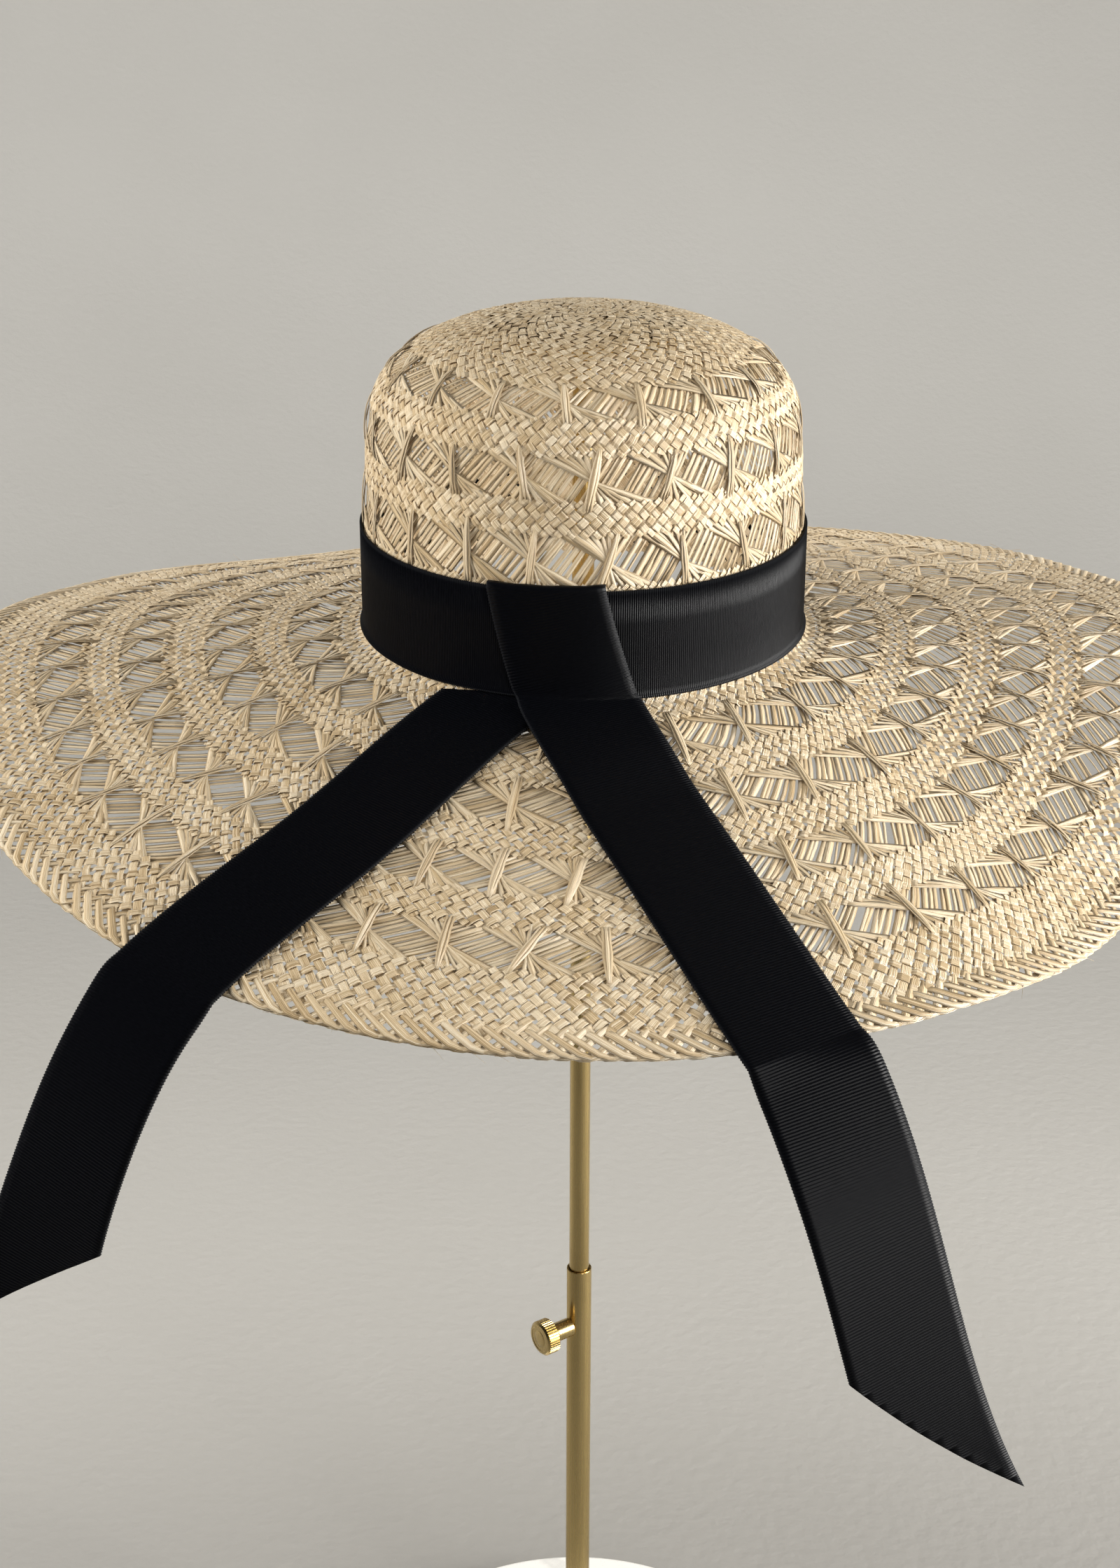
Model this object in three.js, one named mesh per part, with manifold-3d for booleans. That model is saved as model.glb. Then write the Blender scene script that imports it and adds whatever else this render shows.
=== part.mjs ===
// A wide-brimmed straw hat with a grosgrain band and two ribbon tails, on a telescopic stand.
// Millimetres, +Z up. The origin is the centre of the stand's underside. The hat's front faces -Y.
import Module from 'manifold-3d';
import * as THREE from 'three';
import { mergeVertices } from 'three/addons/utils/BufferGeometryUtils.js';

// General
const gap = 0.3; // between two pieces that meet
const strawThickness = 1.8;
const ribbonThickness = 1;

// Crown, measured on its outside
const crownWidth = 168;
const crownLength = 195;
const crownHeight = 120.7; // above the foot of the crown
const sideHeight = 62.9; // where the shoulder begins
const shoulderRoundness = 1.963; // superellipse power of the shoulder, outwards
const topRoundness = 3.913; // the same, upwards
const leanStart = 41.8; // from here up the side leans in
const leanPerMetre = 0.5;

// Brim
const brimWidth = 154; // along the straw, from the bend at the crown's foot to the edge
const bendRadius = 5; // between crown and brim
const collarHeight = 3; // upright part of the brim above the bend
const sag = 0.2; // share by which the droop grows from the inner half to the edge
// Droop in degrees, every 30 degrees round the hat from +X through the back (+Y); the front is the tenth.
const droop = [3.5, 4.9, 8.9, 12.9, 13.7, 7.9, 3.8, 12.2, 20.0, 23.6, 23.7, 25.4];

// Openwork: rows of slanted windows. From and to are shares of the straw's length over the crown
// (from the foot to the centre of the top) or of the brim's width.
const windowSlant = 0.4; // of a repeat, by which a window's upper end is turned
const footSides = 60; // steps round the hat where crown, brim and band meet
const crownRows = [
  { windows: 20, from: 0.224, to: 0.329 },
  { windows: 20, from: 0.385, to: 0.476 },
  { windows: 17, from: 0.539, to: 0.623 },
];
const brimRows = [
  { windows: 18, from: 0.78, to: 0.65 },
  { windows: 17, from: 0.572, to: 0.44 },
  { windows: 15, from: 0.378, to: 0.25 },
  { windows: 13, from: 0.175, to: 0.06 },
];
// Rings of closed straw: their steps round the hat, and where they lie by the same shares
const crownTopRings = [
  { steps: 51, at: 0.69 },
  { steps: 40, at: 0.76 },
  { steps: 32, at: 0.83 },
  { steps: 20, at: 0.9 },
  { steps: 10, at: 0.96 },
];
const brimEdgeRings = [
  { steps: 80, at: 1 },
  { steps: 80, at: 0.89 },
];

// Ribbons
const bandWidth = 40;
const bandFoot = 1.8; // height of the band's lower edge
const tailWidth = 42;
const tailClearance = 0.5; // under a tail on the straw
const crossingRoom = 0.2; // more room where one ribbon crosses another
const tailStart = 1.2; // how far out of the bend the left tail starts
const leftTailReach = 24; // how far out the left tail lies under the right one
const rightTailSettles = 52; // how far out the right tail is down on the straw
const bowFade = 15; // length over which a hanging tail loses the brim's roundness
// Steps along a tail: over the band, over a sharp bend, over the brim's edge, and elsewhere
const tailSteps = { band: 12, bend: 1.6, edge: 6, flat: 13 };
const edgeReach = 36; // how far past the brim's edge a tail still has short steps
// Where a tail starts on the band or the straw, its heading there, how it turns as it crosses the brim
// (degrees over the brim's width, at the crown, half-way and at the edge), and how far it hangs at each side.
const rightTail = {
  angle: 260.6, heading: 78.1, brimTurns: [-26.6, 2.1, -11.5], leftDrop: 104, rightDrop: 174,
};
const leftTail = {
  angle: 252.7, heading: 113.8, brimTurns: [-39.2, 30.3, -43.2], leftDrop: 135, rightDrop: 89,
};
// How a tail hangs: rates in degrees over its reach beyond the brim's edge, at shares of that reach.
const rightHang = [
  { share: 0, bend: 596, twist: 281, turn: 65 },
  { share: 0.07, bend: 38, twist: 1, turn: 20 },
  { share: 0.23, bend: 119, twist: -24, turn: -16 },
  { share: 0.54, bend: 21, twist: 11, turn: -12 },
  { share: 0.9, bend: 0, twist: 31, turn: -36 },
];
const leftHang = [
  { share: 0, bend: 445, twist: -127, turn: -16 },
  { share: 0.07, bend: 102, twist: 28, turn: 3 },
  { share: 0.215, bend: 89, twist: -5, turn: 13 },
  { share: 0.515, bend: 35, twist: -14, turn: 5 },
  { share: 0.86, bend: 20, twist: -52, turn: -11 },
];

// Stand
const baseRadius = 105;
const baseThickness = 18;
const baseEdge = 2.5; // radius of the rounded rims
const socketDepth = 12;
const sleeveDiameter = 10.8;
const sleeveWall = 0.8;
const sleeveHeight = 256; // its length above the socket's floor
const mastDiameter = 8.6;
const mastInSleeve = 80;
const mastExposed = 406.8; // from the sleeve's top to the head
const headDiameter = 80;
const headThickness = 8; // at its middle
const headSocket = 4;
const headChamfer = 1; // round its lower rim
const screwDrop = 29; // below the sleeve's top
const screwBearing = 216; // the way that the screw points, degrees from +X
const bossDiameter = 8.2;
const bossReach = 13; // from the mast's axis
const screwDiameter = 3.2;
const knobDiameter = 15.4;
const knobThickness = 5.2;
const knobStandoff = 2.2; // between boss and knob
const knurls = 24;
const knurlDepth = 0.5;

const degrees = Math.PI / 180;
const halfWidth = crownWidth / 2;
const halfLength = crownLength / 2;
const socketFloor = baseThickness - socketDepth;
const sleeveTop = socketFloor + gap + sleeveHeight;
const headBottom = sleeveTop + mastExposed;
const tailOnBand = 2 * gap + 1.5 * ribbonThickness + crossingRoom; // middle of a ribbon that crosses the band
const foldRadius = tailOnBand - gap - ribbonThickness / 4;
const hatFoot = headBottom + headThickness + gap + strawThickness - crownHeight;

const straw = new THREE.MeshStandardMaterial({ color: 0xd9c39b, roughness: 0.55, metalness: 0 });
const ribbon = new THREE.MeshStandardMaterial({ color: 0x121317, roughness: 0.75, metalness: 0 });
const brass = new THREE.MeshStandardMaterial({ color: 0xb08d4f, roughness: 0.3, metalness: 1 });
const stone = new THREE.MeshStandardMaterial({ color: 0xe9e7e2, roughness: 0.25, metalness: 0 });

const wasm = await Module();
wasm.setup();

const hat = new THREE.Group();
const frame = new THREE.Group();
frame.add(hat);
hat.position.z = hatFoot;

function addMesh(parent, name, geometry, material) {
  const mesh = new THREE.Mesh(geometry, material);
  mesh.name = name;
  parent.add(mesh);
  return mesh;
}

function meshFrom(points, faces) {
  const geometry = new THREE.BufferGeometry();
  const positions = points.flatMap((point) => point.toArray());
  geometry.setAttribute('position', new THREE.Float32BufferAttribute(positions, 3));
  geometry.setIndex(faces.flat());
  return geometry;
}

function smoothTable(values, turn) {
  const count = values.length;
  const x = ((((turn / 360) * count) % count) + count) % count;
  const i = Math.floor(x);
  const t = x - i;
  const [a, b, c, d] = [-1, 0, 1, 2].map((k) => values[(i + k + count) % count]);
  return b + 0.5 * t * (c - a + t * (2 * a - 5 * b + 4 * c - d + t * (3 * (b - c) + d - a)));
}

function linearTable(shares, values, share) {
  let i = 0;
  while (i < shares.length - 2 && share > shares[i + 1]) i += 1;
  const t = Math.min(Math.max((share - shares[i]) / (shares[i + 1] - shares[i]), 0), 1);
  return values[i] + (values[i + 1] - values[i]) * t;
}

function smoothStep(from, to, x) {
  const t = Math.min(Math.max((x - from) / (to - from), 0), 1);
  return t * t * (3 - 2 * t);
}

// A point outside the crown's oval foot at an angle, this far out and at this height
function aroundOval(angle, out, height, scale = 1) {
  const across = Math.cos(angle) / halfWidth;
  const along = Math.sin(angle) / halfLength;
  const length = Math.hypot(across, along);
  return new THREE.Vector3(
    halfWidth * Math.cos(angle) * scale + (across / length) * out,
    halfLength * Math.sin(angle) * scale + (along / length) * out,
    height,
  );
}

// The crown's outline from foot to top: how far up the straw each height and share of radius lies
const crownOutline = [];
const sideSteps = 40;
const shoulderSteps = 400;
for (let i = 0; i <= sideSteps + shoulderSteps; i += 1) {
  const turn = Math.max((i - sideSteps) / shoulderSteps, 0) * 90 * degrees;
  const rise = (crownHeight - sideHeight) * Math.sin(turn) ** (2 / topRoundness);
  const height = i < sideSteps ? (sideHeight * i) / sideSteps : sideHeight + rise;
  const lean = 1 - (Math.max(height - leanStart, 0) * leanPerMetre) / 1000;
  const radius = Math.max(Math.cos(turn), 0) ** (2 / shoulderRoundness) * lean;
  const last = crownOutline.at(-1) ?? { height, radius, length: 0 };
  const meanRadius = (halfWidth + halfLength) / 2;
  const step = Math.hypot(height - last.height, (radius - last.radius) * meanRadius);
  crownOutline.push({ height, radius, length: last.length + step });
}
const crownStraw = crownOutline.at(-1).length;

function outlineAt(length) {
  const next = Math.max(crownOutline.findIndex((row) => row.length >= length), 1);
  const [a, b] = [crownOutline[next - 1], crownOutline[next]];
  const t = Math.min((length - a.length) / (b.length - a.length), 1);
  return { height: a.height + (b.height - a.height) * t, radius: a.radius + (b.radius - a.radius) * t };
}

// The crown's surface at an angle and a length up the straw, this deep under its outside
function crownPoint(angle, length, depth) {
  const reach = 0.2;
  const here = outlineAt(length);
  const before = outlineAt(Math.max(length - reach, 0));
  const after = outlineAt(Math.min(length + reach, crownStraw));
  const meanRadius = (halfWidth + halfLength) / 2;
  const climb = after.height - before.height;
  const inward = (before.radius - after.radius) * meanRadius;
  const size = Math.hypot(climb, inward);
  const out = (-depth * climb) / size;
  return aroundOval(angle, out, here.height - (depth * inward) / size, here.radius);
}

function droopAt(angle) {
  return smoothTable(droop, angle / degrees) * degrees;
}

// The outside of brim, bend and collar at an angle. Along is 0 where the brim leaves the bend, grows to
// brimWidth at the edge, and is negative in the bend and up the wall. Lift is how far off the straw.
function brimPoint(angle, along, lift) {
  const slope = droopAt(angle);
  const bendLength = bendRadius * (90 * degrees - slope);
  if (along < -bendLength) return aroundOval(angle, lift, bendRadius - along - bendLength);
  if (along < 0) {
    const turn = (along + bendLength) / bendRadius;
    const reach = bendRadius - lift;
    return aroundOval(angle, bendRadius - reach * Math.cos(turn), bendRadius - reach * Math.sin(turn));
  }
  const mean = slope * (1 + sag * (along / (2 * brimWidth) - 0.5));
  const local = slope * (1 + sag * (along / brimWidth - 0.5));
  const out = bendRadius * (1 - Math.sin(slope)) + along * Math.cos(mean) + lift * Math.sin(local);
  const fall = bendRadius * Math.cos(slope) + along * Math.sin(mean) - lift * Math.cos(local);
  return aroundOval(angle, out, bendRadius - fall);
}

// A ring of points right round the hat. Windows is the count of windows that open above it.
function ring(count, turn, along, windows = 0) {
  return { count, turn, along, windows };
}

// Rings for the openwork rows: each has a lower and an upper ring of three steps to a repeat
function openworkRings(rows, length) {
  let turn = 0;
  return rows.flatMap(({ windows, from, to }) => {
    const lower = ring(windows * 3, turn, from * length, windows);
    turn += (windowSlant * 360 * degrees) / windows;
    const upper = ring(windows * 3, turn, to * length);
    return [lower, upper];
  });
}

// Closes a straw wall from its outer rings, ordered from its lower or outer edge. Pole closes the top.
function strawWall(rings, pointAt, pole) {
  const points = [];
  const faces = [];
  const starts = rings.map(({ count, turn, along }) => {
    const [outer, inner] = [0, strawThickness].map((depth) => {
      const start = points.length;
      for (let i = 0; i < count; i += 1) {
        const angle = turn + (i / count) * 360 * degrees;
        points.push(pointAt(angle, along, depth));
      }
      return start;
    });
    return { outer, inner, count, turn };
  });
  const sheet = (a, b, c) => {
    faces.push([a.outer, b.outer, c.outer]);
    faces.push([a.inner, c.inner, b.inner]);
  };
  const pick = (row, i) => {
    const k = ((i % row.count) + row.count) % row.count;
    return { outer: row.outer + k, inner: row.inner + k };
  };
  const side = (a, b) => {
    faces.push([a.outer, a.inner, b.inner]);
    faces.push([a.outer, b.inner, b.outer]);
  };
  for (let r = 0; r < rings.length - 1; r += 1) {
    const [low, high] = [starts[r], starts[r + 1]];
    if (rings[r].windows) {
      // Of three steps two are open, and the third is the bar
      for (let i = 0; i < low.count; i += 3) {
        const [a, b, c, d] = [0, 1, 2, 3].map((k) => pick(low, i + k));
        const [e, f, g, h] = [0, 1, 2, 3].map((k) => pick(high, i + k));
        sheet(c, d, h);
        sheet(c, h, g);
        side(b, a);
        side(c, b);
        side(e, f);
        side(f, g);
        side(a, e);
        side(g, c);
      }
    } else {
      joinRings(low, high, pick, sheet);
    }
  }
  const first = starts[0];
  for (let i = 0; i < first.count; i += 1) side(pick(first, i), pick(first, i + 1));
  const last = starts.at(-1);
  if (pole === undefined) {
    for (let i = 0; i < last.count; i += 1) side(pick(last, i + 1), pick(last, i));
  } else {
    const top = { outer: points.length, inner: points.length + 1 };
    points.push(pointAt(0, pole, 0), pointAt(0, pole, strawThickness));
    for (let i = 0; i < last.count; i += 1) sheet(pick(last, i), pick(last, i + 1), top);
  }
  return meshFrom(points, faces);
}

// Fills the strip between two rings that may have different counts
function joinRings(low, high, pick, sheet) {
  const angleOf = (row, i) => row.turn + (i / row.count) * 360 * degrees;
  let j = Math.ceil(((low.turn - high.turn) / (360 * degrees)) * high.count - 0.5);
  const lastHigh = j + high.count;
  let i = 0;
  while (i < low.count || j < lastHigh) {
    const lowNext = i < low.count ? angleOf(low, i + 1) : Infinity;
    const highNext = j < lastHigh ? angleOf(high, j + 1) : Infinity;
    if (lowNext <= highNext) {
      sheet(pick(low, i), pick(low, i + 1), pick(high, j));
      i += 1;
    } else {
      sheet(pick(low, i), pick(high, j + 1), pick(high, j));
      j += 1;
    }
  }
}

// Crown: its foot stands on the brim's collar, under the band
function crown() {
  const foot = bendRadius + collarHeight + gap;
  const rows = openworkRings(crownRows, crownStraw);
  const shoulderTurn = rows.at(-1).turn;
  const top = crownTopRings.map(({ steps, at }) => ring(steps, shoulderTurn, at * crownStraw));
  const rings = [ring(footSides, 0, foot), ...rows, ...top];
  addMesh(hat, 'crown', strawWall(rings, crownPoint, crownStraw), straw);
}

// Brim: from its edge in to the bend and up its collar
function brim() {
  const pointAt = (angle, along, depth) => brimPoint(angle, along, -depth);
  const edge = brimEdgeRings.map(({ steps, at }) => ring(steps, 0, at * brimWidth));
  const rows = openworkRings(brimRows, brimWidth);
  const inner = [ring(footSides, 0, 0)];
  // The bend's length changes with the droop, so its rings are placed by share of the bend
  const bendShares = [0.33, 0.66, 1];
  const bendRings = bendShares.map((share) => ring(footSides, 0, -share));
  const collar = ring(footSides, 0, -2);
  const placed = (angle, along, depth) => {
    if (along >= 0) return pointAt(angle, along, depth);
    const bendLength = bendRadius * (90 * degrees - droopAt(angle));
    const up = along < -1 ? collarHeight : 0;
    return pointAt(angle, Math.max(along, -1) * bendLength - up, depth);
  };
  addMesh(hat, 'brim', strawWall([...edge, ...rows, ...inner, ...bendRings, collar], placed), straw);
}

// Hatband: a closed ribbon whose lower edge flares over the bend
function hatband() {
  const count = footSides;
  const flare = Math.asin(Math.max(bendRadius - bandFoot, 0) / (bendRadius - gap));
  const flares = [flare, flare / 2, 0];
  const points = [];
  const faces = [];
  for (let i = 0; i < count; i += 1) {
    const angle = (i / count) * 360 * degrees;
    for (const face of [gap, gap + ribbonThickness]) {
      const reach = bendRadius - face;
      flares.forEach((turn) => {
        const out = bendRadius - reach * Math.cos(turn);
        points.push(aroundOval(angle, out, bendRadius - reach * Math.sin(turn)));
      });
      points.push(aroundOval(angle, face, bandFoot + bandWidth));
    }
  }
  const levels = flares.length + 1;
  const loop = [
    ...Array.from({ length: levels }, (_, k) => levels + k),
    ...Array.from({ length: levels }, (_, k) => levels - 1 - k),
  ];
  for (let i = 0; i < count; i += 1) {
    const [a, b] = [i * 2 * levels, ((i + 1) % count) * 2 * levels];
    loop.forEach((k, at) => {
      const next = loop[(at + 1) % loop.length];
      faces.push([a + k, b + k, b + next]);
      faces.push([a + k, b + next, a + next]);
    });
  }
  addMesh(hat, 'hatband', meshFrom(points, faces), ribbon);
}

// Walks straight over the brim's outside, as a ribbon lies, from an angle and a length along it
function walk(state, length, lift, steps, turnRate = 0) {
  let { angle, along, heading } = state;
  const step = length / steps;
  const probe = 0.01;
  const roundAt = (at) => {
    const before = brimPoint(angle - probe, at, lift);
    return brimPoint(angle + probe, at, lift).distanceTo(before) / (2 * probe);
  };
  for (let i = 0; i < steps; i += 1) {
    const round = roundAt(along);
    const spread = roundAt(along + 1) - round;
    const turned = (Math.cos(heading) * step) / round;
    along += Math.sin(heading) * step;
    angle += turned;
    heading += turned * spread + turnRate * step;
  }
  return { angle, along, heading };
}

// The ribbon's middle, as frames 2 mm apart: on the hat, then hanging from the brim's edge
function tailFrames(tail, hang, liftAt, startAlong) {
  const step = 2;
  const pastEdge = 0.03; // share of the brim's width that a tail keeps its line past the edge
  const frames = [];
  let state = { angle: tail.angle * degrees, along: startAlong, heading: tail.heading * degrees };
  while (state.along < brimWidth * (1 + pastEdge)) {
    frames.push({ state, lift: liftAt(state.along) });
    const share = Math.max(state.along, 0) / brimWidth;
    const turnRate = (linearTable([0, 0.5, 1], tail.brimTurns, share) * degrees) / brimWidth;
    state = walk(state, step, liftAt(state.along), 1, turnRate);
  }
  const onHat = frames.length;
  const end = frames[onHat - 1];
  const sideOf = (turn) => {
    const aside = { ...end.state, heading: end.state.heading + turn };
    const spot = walk(aside, tailWidth / 2, end.lift, 4);
    return brimPoint(spot.angle, spot.along, end.lift);
  };
  const middle = brimPoint(end.state.angle, end.state.along, end.lift);
  const previous = frames[onHat - 2];
  const before = brimPoint(previous.state.angle, previous.state.along, previous.lift);
  const ahead = middle.clone().sub(before).normalize();
  const [left, right] = [sideOf(90 * degrees), sideOf(-90 * degrees)];
  const across = right.clone().sub(left);
  across.addScaledVector(ahead, -across.dot(ahead)).normalize();
  const bow = middle.clone().sub(left.add(right).multiplyScalar(0.5)).length();
  const reach = Math.max(tail.leftDrop, tail.rightDrop);
  const count = Math.ceil(reach / step);
  const shares = hang.map((row) => row.share);
  const rate = (key, share) => linearTable(shares, hang.map((row) => row[key]), share);
  const place = middle.clone();
  for (let i = 0; i < count; i += 1) {
    const share = (i + 0.5) / count;
    const [bend, twist, turn] = ['bend', 'twist', 'turn'].map(
      (key) => (rate(key, share) * degrees * step) / reach,
    );
    ahead.applyAxisAngle(across, bend);
    const under = across.clone().cross(ahead);
    ahead.applyAxisAngle(under, turn);
    across.applyAxisAngle(under, turn);
    across.applyAxisAngle(ahead, twist);
    place.addScaledVector(ahead, step);
    const flat = bow * Math.exp((-(i + 1) * step) / bowFade);
    frames.push({ place: place.clone(), across: across.clone(), ahead: ahead.clone(), bow: flat });
  }
  return { frames, onHat, step };
}

// A point of the ribbon: along its middle, then aside (to the right when positive), then off its face.
// Fold is how far the ribbon has turned back there towards the crown, over the band's top edge.
function ribbonPoint(route, along, aside, off, fold) {
  const at = Math.min(along / route.step, route.frames.length - 1.001);
  const i = Math.floor(at);
  const t = at - i;
  const onOne = (frameAt) => {
    if (frameAt.state) {
      const turn = aside > 0 ? -90 * degrees : 90 * degrees;
      const start = { ...frameAt.state, heading: frameAt.state.heading + turn };
      const spot = walk(start, Math.abs(aside), frameAt.lift, 4);
      const out = (foldRadius + off) * Math.cos(fold) - foldRadius;
      const up = (foldRadius + off) * Math.sin(fold);
      return brimPoint(spot.angle, spot.along - up, frameAt.lift + out);
    }
    const face = frameAt.ahead.clone().cross(frameAt.across);
    const dip = off - frameAt.bow * (aside / (tailWidth / 2)) ** 2;
    return frameAt.place.clone().addScaledVector(frameAt.across, aside).addScaledVector(face, dip);
  };
  return onOne(route.frames[i]).lerp(onOne(route.frames[i + 1]), t);
}

// A ribbon solid. Places are how far along its rows stand before the two ends are cut aslant. StartAt and
// stopAt give each end at a side from -0.5 to 0.5. The first slant holds to hold and is gone at ease, and
// the last one grows from pivot. Folds are the angles by which the start is turned back.
function ribbonSolid(route, places, columns, { startAt, hold, ease, stopAt, pivot, folds = [] }) {
  const points = [];
  const faces = [];
  const longest = places.at(-1);
  const rows = [...folds.map((fold) => ({ place: 0, fold })), ...places.map((place) => ({ place, fold: 0 }))];
  rows.forEach(({ place, fold }) => {
    for (const off of [-ribbonThickness / 2, ribbonThickness / 2]) {
      for (let k = 0; k <= columns; k += 1) {
        const side = k / columns - 0.5;
        const late = startAt(side) * (1 - smoothStep(hold, ease, place));
        const early = (longest - stopAt(side)) * Math.max((place - pivot) / (longest - pivot), 0);
        points.push(ribbonPoint(route, place + late - early, side * tailWidth, off, fold));
      }
    }
  });
  const width = columns + 1;
  const loop = [
    ...Array.from({ length: width }, (_, k) => k),
    ...Array.from({ length: width }, (_, k) => 2 * width - 1 - k),
  ];
  for (let i = 0; i < rows.length - 1; i += 1) {
    const [a, b] = [i * 2 * width, (i + 1) * 2 * width];
    loop.forEach((k, at) => {
      const next = loop[(at + 1) % loop.length];
      faces.push([a + k, b + next, b + k]);
      faces.push([a + k, a + next, b + next]);
    });
  }
  const last = (rows.length - 1) * 2 * width;
  for (let k = 0; k < columns; k += 1) {
    faces.push([k, width + k + 1, k + 1]);
    faces.push([k, width + k, width + k + 1]);
    faces.push([last + k, last + k + 1, last + width + k + 1]);
    faces.push([last + k, last + width + k + 1, last + width + k]);
  }
  return meshFrom(points, faces);
}

// Row places along a ribbon: stretches of {until, step}
function rowPlaces(stretches) {
  const places = [0];
  stretches.forEach(({ until, step }) => {
    const from = places.at(-1);
    const count = Math.max(Math.round((until - from) / step), 1);
    for (let i = 1; i <= count; i += 1) places.push(from + ((until - from) * i) / count);
  });
  return places;
}

// Right tail: folds over the band's top edge, crosses the band and the left tail, and hangs
function tailRight() {
  const overLeftTail = tailClearance + 2 * gap + 1.5 * ribbonThickness + crossingRoom;
  const onStraw = tailClearance + ribbonThickness / 2;
  const liftAt = (along) => {
    const raised = tailOnBand + (overLeftTail - tailOnBand) * smoothStep(-bendRadius, 0, along);
    return raised + (onStraw - raised) * smoothStep(leftTailReach, rightTailSettles, along);
  };
  const bendLength = bendRadius * (90 * degrees - droopAt(rightTail.angle * degrees));
  const top = bandFoot + bandWidth - bendRadius;
  const heading = rightTail.heading * degrees;
  const skew = (Math.cos(heading) * tailWidth) / 2;
  const route = tailFrames(rightTail, rightHang, liftAt, -(bendLength + top + skew));
  const edge = (route.onHat - 1) * route.step;
  const bendFrom = (top - gap) / Math.sin(heading);
  const bendTo = (top + bendLength + gap) / Math.sin(heading);
  const places = rowPlaces([
    { until: bendFrom, step: tailSteps.band },
    { until: bendTo, step: tailSteps.bend },
    { until: edge, step: tailSteps.flat },
    { until: edge + edgeReach, step: tailSteps.edge },
    { until: edge + Math.max(rightTail.leftDrop, rightTail.rightDrop), step: tailSteps.flat },
  ]);
  const cuts = {
    startAt: (side) => (tailWidth / Math.tan(heading)) * (side + 0.5),
    hold: bendTo,
    ease: edge,
    stopAt: (side) => edge + cutAt(rightTail, side),
    pivot: edge,
    folds: [90, 60, 30].map((turn) => turn * degrees),
  };
  addMesh(hat, 'tail_right', ribbonSolid(route, places, 6, cuts), ribbon);
}

// How far a tail's slanted end hangs at a side from -0.5 (left) to 0.5
function cutAt(tail, side) {
  return tail.leftDrop + (tail.rightDrop - tail.leftDrop) * (side + 0.5);
}

// Left tail: starts along the band's lower edge, lies on the brim and hangs
function tailLeft() {
  const onStraw = tailClearance + ribbonThickness / 2;
  const slant = (leftTail.heading - 90) * degrees;
  const start = tailStart - (Math.sin(slant) * tailWidth) / 2;
  const route = tailFrames(leftTail, leftHang, () => onStraw, start);
  const edge = (route.onHat - 1) * route.step;
  const places = rowPlaces([
    { until: edge, step: tailSteps.flat },
    { until: edge + edgeReach, step: tailSteps.edge },
    { until: edge + Math.max(leftTail.leftDrop, leftTail.rightDrop), step: tailSteps.flat },
  ]);
  const cuts = {
    startAt: (side) => tailWidth * Math.tan(slant) * (0.5 - side),
    hold: 0,
    ease: edge / 2,
    stopAt: (side) => edge + cutAt(leftTail, side),
    pivot: edge,
  };
  addMesh(hat, 'tail_left', ribbonSolid(route, places, 4, cuts), ribbon);
}

// Stand

function asSolid(geometry) {
  const bare = geometry.clone();
  bare.deleteAttribute('normal');
  bare.deleteAttribute('uv');
  const merged = mergeVertices(bare, 1e-4);
  const vertProperties = new Float32Array(merged.attributes.position.array);
  const triVerts = new Uint32Array(merged.index.array);
  return new wasm.Manifold(new wasm.Mesh({ numProp: 3, vertProperties, triVerts }));
}

function fromSolid(solid) {
  const { vertProperties, triVerts } = solid.getMesh();
  const geometry = new THREE.BufferGeometry();
  geometry.setAttribute('position', new THREE.BufferAttribute(vertProperties, 3));
  geometry.setIndex(new THREE.BufferAttribute(triVerts, 1));
  return geometry;
}

// A round piece from its profile of [radius, height] points, listed from the bottom outwards and up
function turned(profile, sides) {
  return new THREE.LatheGeometry(profile.map(([r, z]) => new THREE.Vector2(r, z)), sides).rotateX(
    Math.PI / 2,
  );
}

function rod(radius, from, to, sides) {
  return turned([[0, from], [radius, from], [radius, to], [0, to]], sides);
}

// A rounded rim as profile points, from one angle to another round a centre
function rim(radius, height, from, to) {
  return Array.from({ length: 5 }, (_, i) => {
    const turn = (from + ((to - from) * i) / 4) * degrees;
    return [radius + baseEdge * Math.cos(turn), height + baseEdge * Math.sin(turn)];
  });
}

function standBase() {
  const socket = sleeveDiameter / 2 + gap;
  const profile = [
    [0, 0],
    ...rim(baseRadius - baseEdge, baseEdge, -90, 0),
    ...rim(baseRadius - baseEdge, baseThickness - baseEdge, 0, 90),
    [socket, baseThickness],
    [socket, socketFloor],
    [0, socketFloor],
  ];
  addMesh(frame, 'stand_base', turned(profile, 48), stone);
}

// Turns a piece made upright so that it points the way of the screw, at the screw's height
function placeAsScrew(geometry) {
  return geometry
    .rotateY(Math.PI / 2)
    .rotateZ(screwBearing * degrees)
    .translate(0, 0, sleeveTop - screwDrop);
}

function standSleeve() {
  const sides = 28;
  const bore = mastDiameter / 2 + gap;
  const outside = Math.max(sleeveDiameter / 2, bore + sleeveWall);
  const tube = asSolid(rod(outside, socketFloor + gap, sleeveTop, sides));
  const boss = asSolid(placeAsScrew(rod(bossDiameter / 2, 0, bossReach, sides)));
  const hollow = asSolid(rod(bore, socketFloor, sleeveTop + gap, sides));
  const thread = asSolid(placeAsScrew(rod(screwDiameter / 2 + gap, 0, bossReach + gap, 16)));
  addMesh(frame, 'stand_sleeve', fromSolid(tube.add(boss).subtract(hollow).subtract(thread)), brass);
}

function standMast() {
  const foot = sleeveTop - mastInSleeve;
  const top = headBottom + headSocket - gap;
  addMesh(frame, 'stand_mast', rod(mastDiameter / 2, foot, top, 28), brass);
}

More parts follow.
